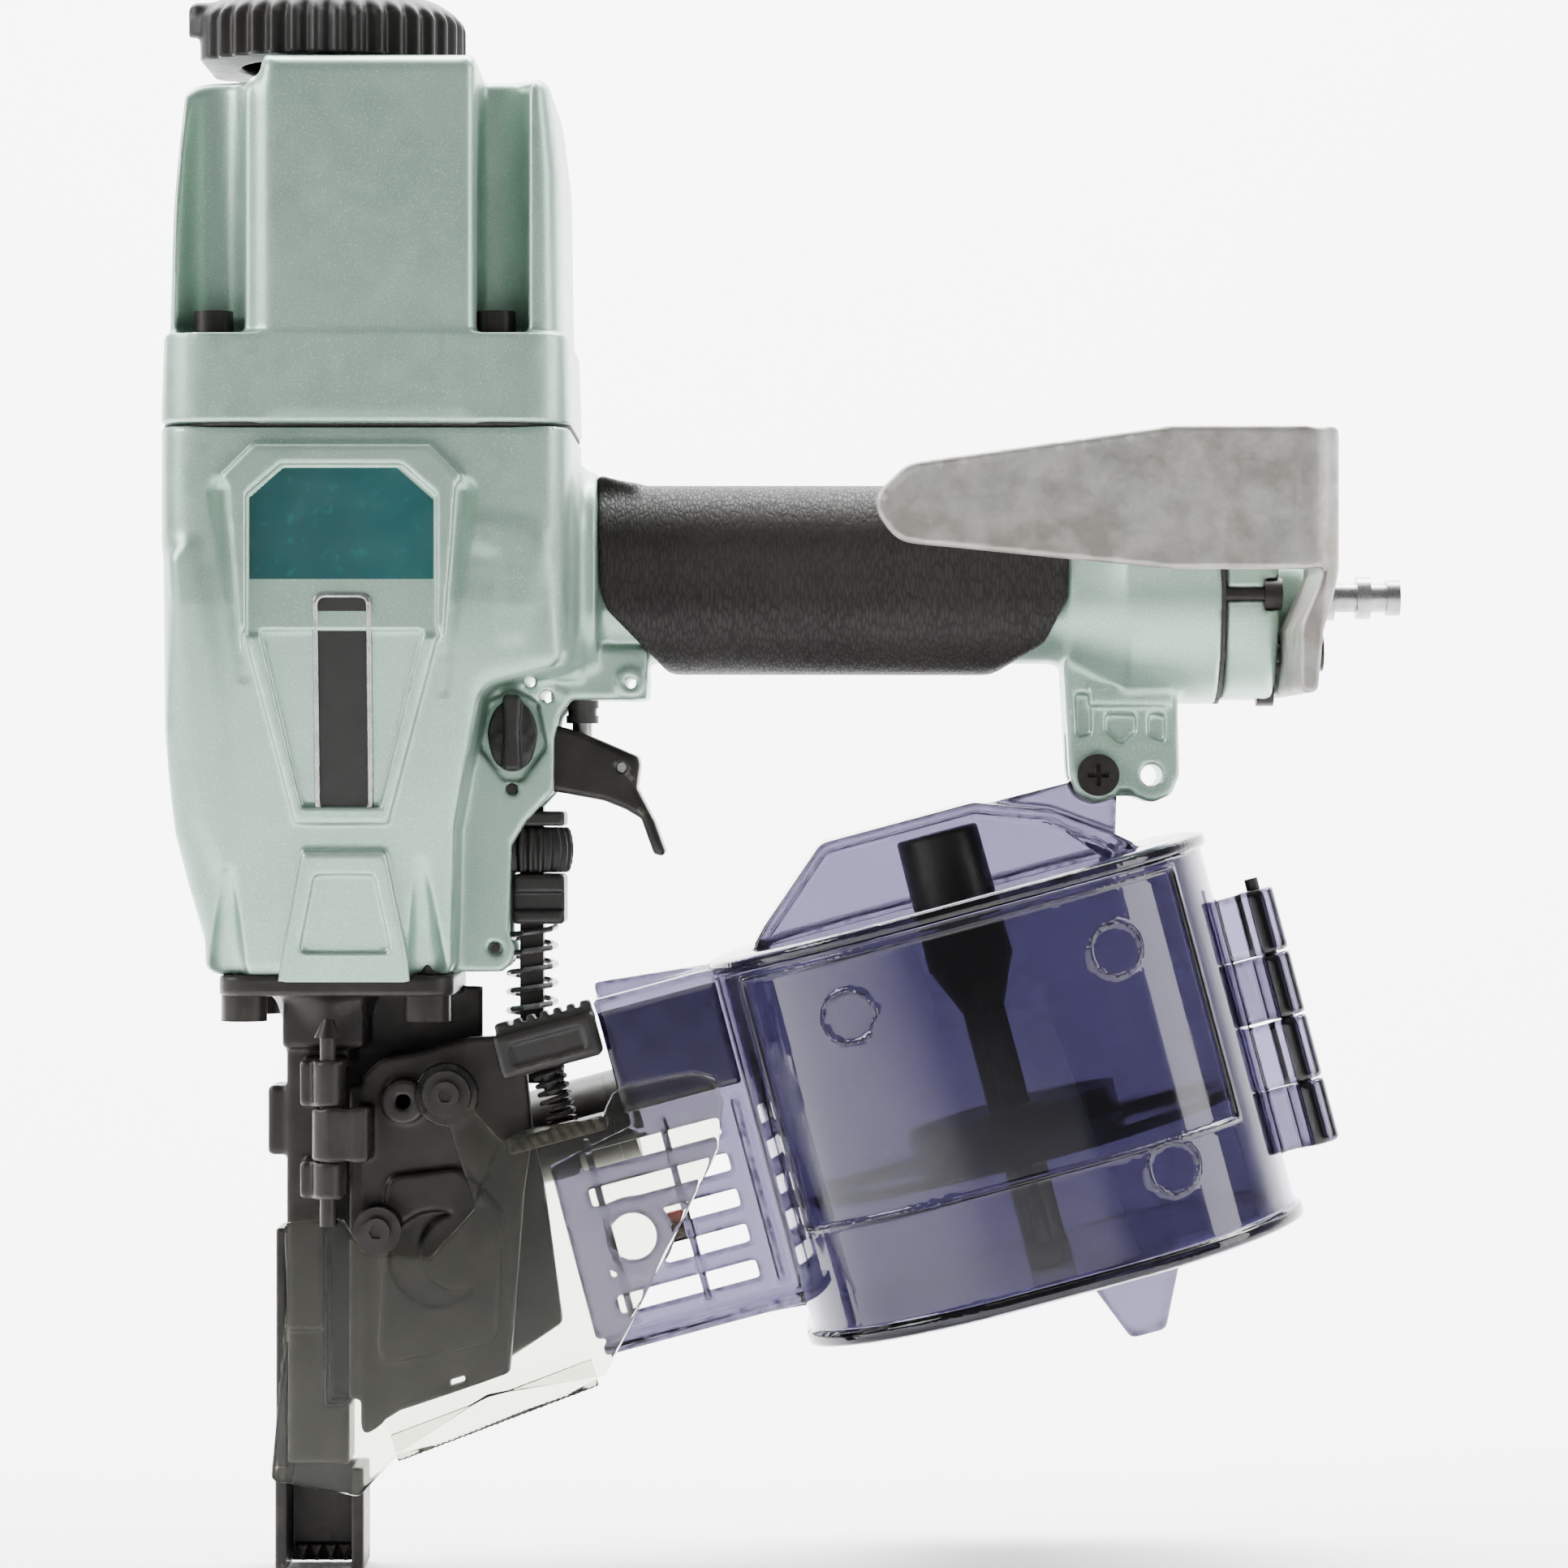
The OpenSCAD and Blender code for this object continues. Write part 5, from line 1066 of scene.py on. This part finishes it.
def door_field():
    """Plate with a rounded edge, its hinge knuckle, screw bosses, a crescent dish and the spring ledge."""
    near, far = -12, -7
    plate = prism(Y, [(8.3, 6), (17, 12.5), (41, 20), (44, 60), (46, 74), (44, 95), (32, 94.4), (20, 91),
                      (12.5, 89.8), (8.3, 86)], near, far, 0.8, 2)
    tongue = box((5.8, near, 15), (9, -4.8, 84), 0.5)
    knuckle = join(1.5, rod(Z, (HINGE_X, HINGE_NEAR), 3.4, FLANGE_Z - 35.7, FLANGE_Z - 24.3, 0.6),
                   box((HINGE_X, -27.9, FLANGE_Z - 35.7), (10.5, -23.5, FLANGE_Z - 24.3), 0.6),
                   box((8, -27.9, FLANGE_Z - 35.7), (11, near + 0.5, FLANGE_Z - 24.3), 0.6))
    bosses = [rod(Y, at, 4.8, -19.7, near + 1, 0.5) for at in SCREW_AT]
    ledge = moved(to_feed, box((58, -19.5, 56), (80, -7, 59.3), 0.7))
    raised = prism(Y, [(12, 22), (38, 28), (40, 56), (30, 66), (14, 64)], near - 1.4, near + 1, 0.8, 4)
    dish = cut(0.5, rod(Y, (25, 46), 10.5, near - 4, near - 0.4, 0.4),
               rod(Y, (30, 47.5), 8.6, near - 6, near + 2, 0.4))
    slot = prism(Y, [(28, 17.8), (31.2, 18.8), (31.2, 20.2), (28, 19.2)], near - 5, far + 5)
    bores = [rod(Y, at, 1.6, -24, far + 3) for at in SCREW_AT]
    solid = join(0.8, join(1.2, plate, tongue, knuckle, *bosses), raised, ledge)
    return cut(0.5, solid, dish, slot, rod(Z, (HINGE_X, HINGE_NEAR), 1.8, 40, FLANGE_Z - 8), *bores)


def shield_field():
    """Sheet of clear plastic with a rounded outline and a lip folded out along its lower edge."""
    near, far = -21.6, -20
    points = [(-10.5, -1.6), (-7, 38), (-7.6, 54.6), (5, 55.5), (9.3, 48), (24, 47), (34, 58), (40, 72),
              (44, 74.8), (61.5, 77.4), (63.5, 82.5), (66.7, 84.4), (81, 87.1), (86, 86), (88, 81),
              (86.9, 70.4), (62.3, 21.2), (36.8, 16.6), (17, 4), (8.8, -5.1)]
    sheet = prism(Y, points, near, far, 0.3, 1.6)
    ear = rod(Y, SCREW_AT[0], 7, near, far, 0.3)
    link = prism(Y, [(28, 76), (34, 58), (40, 72), (33.5, 79)], near, far, 0.3)
    lip_turn = math.radians(20.8)

    def lip_frame(p):
        x, z = p[:, X] - 17, p[:, Z] - 4
        return np.stack([x * math.cos(lip_turn) + z * math.sin(lip_turn), p[:, Y],
                         z * math.cos(lip_turn) - x * math.sin(lip_turn)], -1)
    lip = moved(lip_frame, prism(X, [(-20, 6.4), (-21.6, 7.4), (-28.4, 0.4), (-28, -1)], 0.5, 47, 0.3))
    holes = [rod(Y, at, 1.7, near - 3, far + 3) for at in SCREW_AT[:2]]
    return cut(0.2, join(1.0, sheet, ear, link, lip), *holes)


def latch_field():
    """Ribbed thumb block on its rod, drawn in the feed frame."""
    block = box((60.8, -24, 72.2), (83.5, -14.6, 82), 1.4)
    ridge = box((62, -22.5, 80), (83.5, -16.5, 84.5), 0.8)
    foot = box((68, -17.5, 72.2), (75, -10.5, 74.3), 0.4)
    panel = box((64, -27, 74.4), (80.5, -23.3, 79.6), 0.8)
    grooves = [box((65 + 3 * i, -27, 83.4), (66.2 + 3 * i, -12, 86), 0.3) for i in range(6)]
    return cut(0.4, join(0.8, block, ridge, foot, rod(Z, (70.5, -14.5), 2, 66, 73)), panel, *grooves)


def tip_field():
    """Foot with outer prongs and four centre teeth, and the strips that carry it."""
    low = TIP_LOW[Z] + 1
    channel = box((-11, -7.5, low - 1), (8.6, 10.4, -0.6), 0.7)
    inside = box((-8.5, -12, low - 6), (5.9, 7.9, 4), 0.2)
    left = box((-11, -5, -4), (-8.5, 10.4, 52), 0.6)
    strip = box((-8.6, 8, -4), (3.5, 10.4, TIP_HIGH[Z]), 0.5)
    pad = box((-8.6, 8, TIP_HIGH[Z] - 9), (3.5, 10.98, TIP_HIGH[Z]), 0.4)
    notch = prism(Y, [(-8.6, low - 4), (5.6, low - 4), (1.5, low + 11.4), (-4.5, low + 11.4)], -20, 6)
    teeth = [prism(X, [(y0, low - 2.2), (y0 + 2.2, low - 2.2), (y0 + 1.1, low + 2.4)], -12, 10, 0.1)
             for y0 in (-5.5, -1.5, 2.5, 6.5)]
    centre = []
    for x in (-6.2, -3.1, 0.1, 3.2):
        centre.append(prism(Y, [(x - 1.5, low + 3), (x, low - 1), (x + 1.5, low + 3)], 6, 10.2, 0.2))
    solid = join(0.8, cut(0.3, channel, inside), left, strip, pad)
    return join(0.3, cut(0.3, solid, notch, *teeth), *[common(0.1, c, channel) for c in centre])


def trigger_field():
    """Curved trigger with its hub and hollow underside."""
    side = [(0, 4.6), (14.4, 0.6), (19.4, -1.5), (27.3, -4.9), (27.7, -6.6), (27, -11.8), (30.9, -19.2),
            (33.3, -25.8), (32.7, -26.9), (30.7, -26.4), (27.9, -18.6), (24.6, -16.6), (19.9, -14.7),
            (12, -13.2), (8.5, -12.6), (0, -4.6)]
    pocket = [(-7, 8), (-7, -14), (7, -14), (8.7, -10.8), (19, -12.5), (25.4, -13), (26, -6), (26, 8)]

    def placed(points):
        return [(PIVOT_X + x, PIVOT_Z + z) for x, z in points]
    shell = join(1.0, prism(Y, placed(side), -TRIGGER_W, TRIGGER_W, 1.3, 1.2),
                 rod(Y, (PIVOT_X, PIVOT_Z), 5.5, -TRIGGER_W, TRIGGER_W, 0.8))
    inner = prism(Y, placed(pocket), -6.9, 6.9, 0.4)
    bores = [rod(Y, (PIVOT_X, PIVOT_Z), 3.1, -20, 20),
             rod(Y, (PIVOT_X + 23.7, PIVOT_Z - 7.3), 1.1, -20, 20)]
    return cut(0.3, shell, inner, *bores)


def selector_field():
    """Glossy knob: a bar with waisted sides on a round base, and its shaft."""
    def at(x, z):
        return PIVOT_X + x, PIVOT_Z + z

    shaft = rod(Y, at(0, 0), 3, -14.4, 15.2, 0.5)
    base = join(1.5, rod(Y, at(0, 0), 5.4, -17, -14.3, 0.4), rod(Y, at(0, 3), 4.4, -17, -14.3, 0.4),
                rod(Y, at(0, -3.5), 4.6, -17, -14.3, 0.4))
    bar = prism(Y, [at(-2, -8), at(2, -8), at(1.6, 0), at(2, 8.6), at(-2, 8.6), at(-1.6, 0)], -21, -16,
                0.9, 1.2)
    return join(0.8, shaft, base, bar)


def wheel_field():
    """Depth wheel with 24 rounded teeth, barrel shaped."""
    low, high = span("depth_adjuster")[0][Z], span("depth_adjuster")[1][Z]
    radius, count = (span("depth_adjuster")[1][X] - span("depth_adjuster")[0][X]) / 2, 24

    def toothed(p):
        x, y = p[:, X] - LEVER_X, p[:, Y]
        angle = np.arctan2(y, x)
        belly = ((p[:, Z] - (low + high) / 2) / (high - low) * 2) ** 2 * 1.0
        side = np.hypot(x, y) - radius + 0.45 - 0.45 * np.cos(angle * count) + belly
        return wall(side * 0.7, np.abs(p[:, Z] - (low + high) / 2) - (high - low) / 2 + 0.3) - 0.3
    return cut(0.3, toothed, rod(Z, (LEVER_X, 0), 4.3, low - 3, high + 3))


def guides_field():
    """The two blocks that guide the push lever, the lower one with a slot for its pin."""
    low, high = span("lever_guides")[0], span("lever_guides")[1]
    lower = box((low[X], low[Y], low[Z]), (high[X], high[Y], low[Z] + 11), 1.0)
    upper = box((low[X], low[Y], high[Z] - 3.2), (high[X], high[Y], high[Z]), 0.7)
    way = box((LEVER_X - 2.75, -3.15, low[Z] - 3), (LEVER_X + 2.75, 3.15, high[Z] + 3))
    waist = [box((LEVER_X - 9, s * high[Y] - 1.0, low[Z] + 3),
                 (LEVER_X + 20, s * high[Y] + 1.0, low[Z] + 7), 0.4)
             for s in (-1, 1)]
    return cut(0.4, join(0, lower, upper), way, *waist)


cast("nose_casting", nose_field(), (NOSE_LOW[X], HINGE_NEAR - 4, 0), NOSE_HIGH, WORN_BLACK, "tool",
     "black_steel", ["nose_body"], 0.6)
cast("door_casting", door_field(), DOOR_LOW, DOOR_HIGH, WORN_BLACK, "door", "black_steel",
     ["nose_door"], 0.6)
cast("shield_sheet", shield_field(), SHIELD_LOW, SHIELD_HIGH, CLEAR, "door", "clear", ["nose_shield"],
     0.45)
cast("latch_block", latch_field(), (60.8, -24, 66), (83.5, -10.5, 84.5), WORN_NYLON, "latch",
     "black_plastic",
     ["door_latch"], 0.5, True)
cast("tip_casting", tip_field(), TIP_LOW, TIP_HIGH, WORN_BLACK, "push_lever_unit", "black_steel",
     ["contact_tip"], 0.45)
cast("trigger_casting", trigger_field(), *span("trigger"), WORN_BLACK, "trigger_unit", "black_steel",
     ["trigger"], 0.5)
cast("selector_knob", selector_field(), *span("mode_selector"), NYLON, "selector", "black_plastic",
     ["mode_selector"], 0.5)
cast("depth_wheel", wheel_field(), *span("depth_adjuster"), NYLON, "adjuster", "black_plastic",
     ["depth_adjuster"], 0.4)
cast("guide_blocks", guides_field(), *span("lever_guides"), WORN_NYLON, "tool", "black_plastic",
     ["lever_guides"], 0.5)

# ---------------------------------------------------------------- Magazine, in the feed frame

DRUM_HIGH = DRUM_LOW + DRUM_HEIGHT
KNUCKLE = (DRUM_HEIGHT - 30) / 4
WINDOW_AT = (78, 30)
LUG = tuple(to_feed(np.array([BRACKET_X, 0, BRACKET_Z]))[[0, 2]])


def drum_plan(inset, low, high, edge=0.3):
    """Plan of the canister with its large rounded corners."""
    return round_plan((DRUM_LEFT + inset, DRUM_NEAR + inset), (DRUM_RIGHT - inset, DRUM_FAR - inset),
                      DRUM_CORNER - inset, low, high, edge)


def near_half():
    return box((DRUM_LEFT - 9, DRUM_NEAR - 9, DRUM_LOW - 9),
               (DRUM_RIGHT + 9, SPLIT + 0.15, DRUM_HIGH + 9))


def drum_solid():
    """Canister outline with soft corners and a raised bead round its top and bottom."""
    soft = common(2.5, drum_plan(0, DRUM_LOW, DRUM_HIGH),
                  drum_plan(0, DRUM_LOW - 9, DRUM_HIGH + 0.4, 2.5))
    return join(0.8, soft, drum_plan(-0.8, DRUM_HIGH - 3.4, DRUM_HIGH - 0.8, 0.7),
                drum_plan(-0.8, DRUM_LOW + 0.6, DRUM_LOW + 3.4, 0.7))


def drum_space():
    return drum_plan(WALL, DRUM_LOW + WALL, DRUM_HIGH - WALL, 1.6)


def mould_lines():
    """Round mould marks and the frame of the blank window, raised on the cover's wall."""
    near, far = DRUM_NEAR - 2, SPLIT - 8
    tools = []
    for u, v in ((POST_U + 29, DRUM_LOW + 69), (POST_U + 29, DRUM_LOW + 21),
                 (POST_U - 29.5, DRUM_LOW + 69.5)):
        tools.append(cut(0.1, rod(Y, (u, v), 6.0, near, far), rod(Y, (u, v), 5.3, near - 1, far + 1)))
    left, right, low, high = DRUM_LEFT + 5, DRUM_RIGHT - 9, DRUM_LOW + 26, DRUM_HIGH - 5
    tools.append(cut(0.1, box((left, near, low), (right, far, high), 0),
                     box((left + 0.9, near - 1, low + 0.9),
                                                                          (right - 0.9, far + 1,
                                                                           high - 0.9), 0)))
    return [common(0.1, tool, drum_plan(-0.5, DRUM_LOW, DRUM_HIGH)) for tool in tools]


def knuckles(start):
    """Every other knuckle of the hinge, with a web to the canister."""
    out = []
    for i in range(start, 4, 2):
        low = DRUM_LOW + 14 + KNUCKLE * i
        out.append(join(1, rod(Z, (HINGE_U, HINGE_Y), 4.2, low + 0.2, low + KNUCKLE - 0.2, 0.7),
                        box((DRUM_RIGHT - 3, HINGE_Y + (0.3 if start == 0 else -3.2), low + 0.2),
                            (HINGE_U, HINGE_Y + (3.2 if start == 0 else -0.3), low + KNUCKLE - 0.2),
                            0.4)))
    return out


def knuckle_ways(start):
    """Room for the other half's knuckles."""
    ways = [rod(Z, (HINGE_U, HINGE_Y), 1.6, DRUM_LOW, DRUM_HIGH)]
    for i in range(start, 4, 2):
        low = DRUM_LOW + 14 + KNUCKLE * i
        ways.append(rod(Z, (HINGE_U, HINGE_Y), 4.7, low - 0.1, low + KNUCKLE + 0.1))
    return ways


def base_field():
    """Far half of the canister with its hat, neck, lug and foot."""
    top = DRUM_HIGH
    hat_side = [(116, top - 3), (141, top + 18.5), (176, top + 18.5), (192, top + 12.5), (214, top - 3)]
    hat_space = [(119, top - 4), (141.8, top + 16), (175.5, top + 16), (191, top + 10.2), (209, top - 4)]
    half = cut(0.3, drum_solid(), near_half())
    hat = prism(Y, hat_side, SPLIT + 0.15, DRUM_Y + 34, 0.8, 4)
    room = prism(Y, hat_space, SPLIT - 2, DRUM_Y + 31.5, 0.4, 3)
    neck = prism(Y, [(64, 10), (72, 8), (113, 5), (113, 84), (84, 87), (84, 54), (64, 50)], 6.2, 8.7,
                 0.5, 1)
    shelves = [box((84, -14, 81), (DRUM_LEFT - 0.3, 7.2, 83.5), 0.5),
               box((84, SPLIT + 0.3, 81), (117, 7.2, 83.5), 0.5),
               box((84, -14, 58), (DRUM_LEFT - 0.3, -11.5, 83.5), 0.5),
               box((66, SPLIT + 0.3, 7), (114, 7.2, 9.5), 0.5)]
    ribs = [box((u, 3.4, 12), (u + 1.6, 8, 54), 0.4) for u in (72.5, 90, 107)]
    foot = prism(Y, [(171, DRUM_LOW + 3), (179, DRUM_LOW - 17), (187, DRUM_LOW - 17),
                     (197, DRUM_LOW + 3)],
                 -5, 7, 1.2, 2)
    lug_u, lug_v = LUG
    lug = join(1, rod(Y, LUG, 5.6, -3, 3, 0.6),
               prism(Y, [(lug_u - 5.6, lug_v), (177, top + 17.5), (193, top + 8), (lug_u - 1, top - 3),
                         (lug_u + 4, lug_v - 3.5)], -3, 3, 0.6))
    shell = cut(0.4, join(1.2, half, hat), drum_space(), room)
    solid = join(0.8, shell, neck, *shelves, *ribs, foot, lug, *knuckles(0))
    strip = box((DRUM_LEFT - 2, SPLIT - 2, 12), (133, 5.9, 80.5), 0.3)
    slots = [box((71, 5.9, 14 + 8.2 * i), (103, 12, 18 + 8.2 * i), 0.6) for i in range(5)]
    solid = join(0.5, cut(0.3, solid, *slots), rod(Y, WINDOW_AT, 9, 5.95, 9.2, 0.4))
    return cut(0.3, solid, strip, rod(Y, WINDOW_AT, 5.2, 5, 12), rod(Y, LUG, 2.6, -9, 9),
               rod(Z, (POST_U, DRUM_Y), 2.6, DRUM_LOW - 3, DRUM_LOW + 9), *knuckle_ways(1))


def cover_field():
    """Near half of the canister, which swings on the hinge."""
    half = common(0.3, join(0.3, drum_solid(), *mould_lines()),
                  box((DRUM_LEFT - 9, DRUM_NEAR - 9, DRUM_LOW - 9),
                      (DRUM_RIGHT + 9, SPLIT - 0.15, DRUM_HIGH + 9)))
    shell = cut(0.4, half, drum_space())
    strip = box((DRUM_LEFT - 2, SPLIT - 3, 12), (133, SPLIT + 1, 80.5), 0.3)
    return cut(0.3, join(0.8, shell, *knuckles(1)), strip, *knuckle_ways(0))


def post_field():
    low = DRUM_LOW + WALL + 0.05
    axis = (POST_U, DRUM_Y)
    stem = rod(Z, axis, 5, low, DRUM_LOW + 64, 0.3)
    flutes = [rod(Z, (POST_U + 5.6 * math.cos(a), DRUM_Y + 5.6 * math.sin(a)), 1.6, DRUM_LOW + 8,
                  DRUM_LOW + 62)
              for a in np.arange(8) * math.pi / 4]
    head = rod(Z, axis, 9.6, DRUM_LOW + 72, DRUM_HIGH + 14, 0.8, 9.2)
    return join(0.6, cut(0.4, stem, *flutes), rod(Z, axis, 5, DRUM_LOW + 62, DRUM_LOW + 72.4, 0, 9.6),
                head,
                rod(Z, axis, 2.5, DRUM_LOW - 1.5, low + 1))


def tray_field():
    low = feed_points("nail_tray")[:, 2].min()
    axis = (POST_U, DRUM_Y)
    disc = rod(Z, axis, (DRUM_RIGHT - DRUM_LEFT) / 2 - WALL - 4, low, low + 2.5, 0.6)
    ring = cut(0.3, rod(Z, axis, 24, low, low + 10, 0.6), rod(Z, axis, 22, low + 2, low + 12))
    spokes = [box((POST_U - 44, DRUM_Y - 0.8, low), (POST_U + 44, DRUM_Y + 0.8, low + 4.2), 0.4),
              box((POST_U - 0.8, DRUM_Y - 44, low), (POST_U + 0.8, DRUM_Y + 44, low + 4.2), 0.4)]
    solid = join(0.8, disc, rod(Z, axis, 8, low, low + 10, 0.5), ring, *spokes)
    return cut(0.3, solid, rod(Z, axis, 5.15, low - 3, low + 13))


# The far half takes the darker copy of the tinted plastic, painted shade for the half seen behind the
# cover.
cast("canister_base", base_field(), (64, -14, DRUM_LOW - 17), (HINGE_U + 4.2, DRUM_FAR, LUG[1] + 6),
     SHADED_TINT, "tool",
     "tinted_clear", ["magazine_base"], 0.8, True)
cast("canister_cover", cover_field(), (DRUM_LEFT, DRUM_NEAR - 1, DRUM_LOW),
     (HINGE_U + 4.2, SPLIT + 4.2, DRUM_HIGH),
     TINT, "cover", "tinted_clear", ["magazine_cover"], 0.8, True)
cast("canister_post", post_field(), (POST_U - 10, DRUM_Y - 10, DRUM_LOW - 1.5),
     (POST_U + 10, DRUM_Y + 10, DRUM_HIGH + 14),
     WORN_NYLON, "tool", "black_plastic", ["magazine_post"], 0.6, True)
cast("strip_tab", box((86.3, 8.4, 26.5), (90, 9.9, 33), 0.5), (86, 8, 26), (90, 10, 33), RED, "tool",
     "black_plastic",
     (), 0.4, True)
cast("height_tray", tray_field(), (POST_U - 50, DRUM_Y - 50, DRUM_LOW + 20),
     (POST_U + 50, DRUM_Y + 50, DRUM_LOW + 45),
     TINT, "tray", "tinted_clear", ["nail_tray"], 0.7, True)

# ---------------------------------------------------------------- CAD nodes that stay

KEPT = {
    "head_gasket": GASKET, "end_gasket": GASKET, "deflector_screw": STEEL, "deflector_washer": STEEL,
    "head_bolts": BLACK, "head_valve": NYLON, "head_valve_seal": URETHANE, "head_valve_spring": STEEL,
    "cylinder_sleeve": ALLOY, "cylinder_seals": URETHANE, "piston": ALLOY, "piston_ring": URETHANE,
    "driver_blade": STEEL, "bumper": URETHANE, "label_plate": TEAL, "badge_plate": BADGE,
    "end_cap_screws": BLACK, "air_filter": MESH, "air_plug": STEEL, "hook_bolts": BLACK,
    "valve_body": BRASS,
    "valve_plunger": STEEL, "valve_boot": URETHANE, "contact_lever": STEEL, "lever_pin": STEEL,
    "push_lever": BLACK, "lever_guides": NYLON, "guide_pins": BLACK, "push_lever_spring": STEEL,
    "nose_bolts": BLACK, "door_hinge_pin": BLACK, "shield_screws": BLACK, "latch_spring": BLACK,
    "feed_cylinder": BLACK, "feed_cap": BLACK, "feed_piston": STEEL, "feed_spring": STEEL,
    "feed_pawl": STEEL,
    "pawl_pin": STEEL, "cover_hinge_pin": BLACK, "bracket_screw": BLACK, "bracket_nut": STEEL,
    "main_housing": PAINT, "head_housing": PAINT, "end_cap": PAINT, "grip_sleeve": RUBBER,
    "rafter_hook": CAST,
    "exhaust_deflector": NYLON, "trigger": BLACK, "mode_selector": NYLON, "depth_adjuster": NYLON,
    "contact_tip": BLACK, "nose_body": BLACK, "nose_door": BLACK, "nose_shield": CLEAR,
    "door_latch": NYLON,
    "magazine_base": TINT, "magazine_cover": TINT, "nail_tray": TINT, "magazine_post": NYLON}


def dress_cad_nodes():
    """Gives each CAD node its material and a small bevel on its corners."""
    for name, material in KEPT.items():
        node = frame["nodes"][name]
        node.data.materials.clear()
        node.data.materials.append(material)
        if name.endswith("spring"):
            continue
        bevel = node.modifiers.new("bevel", "BEVEL")
        bevel.width = 0.00025
        bevel.segments = 2
        bevel.limit_method = "ANGLE"
        bevel.angle_limit = math.radians(40)
        bevel.harden_normals = True


dress_cad_nodes()
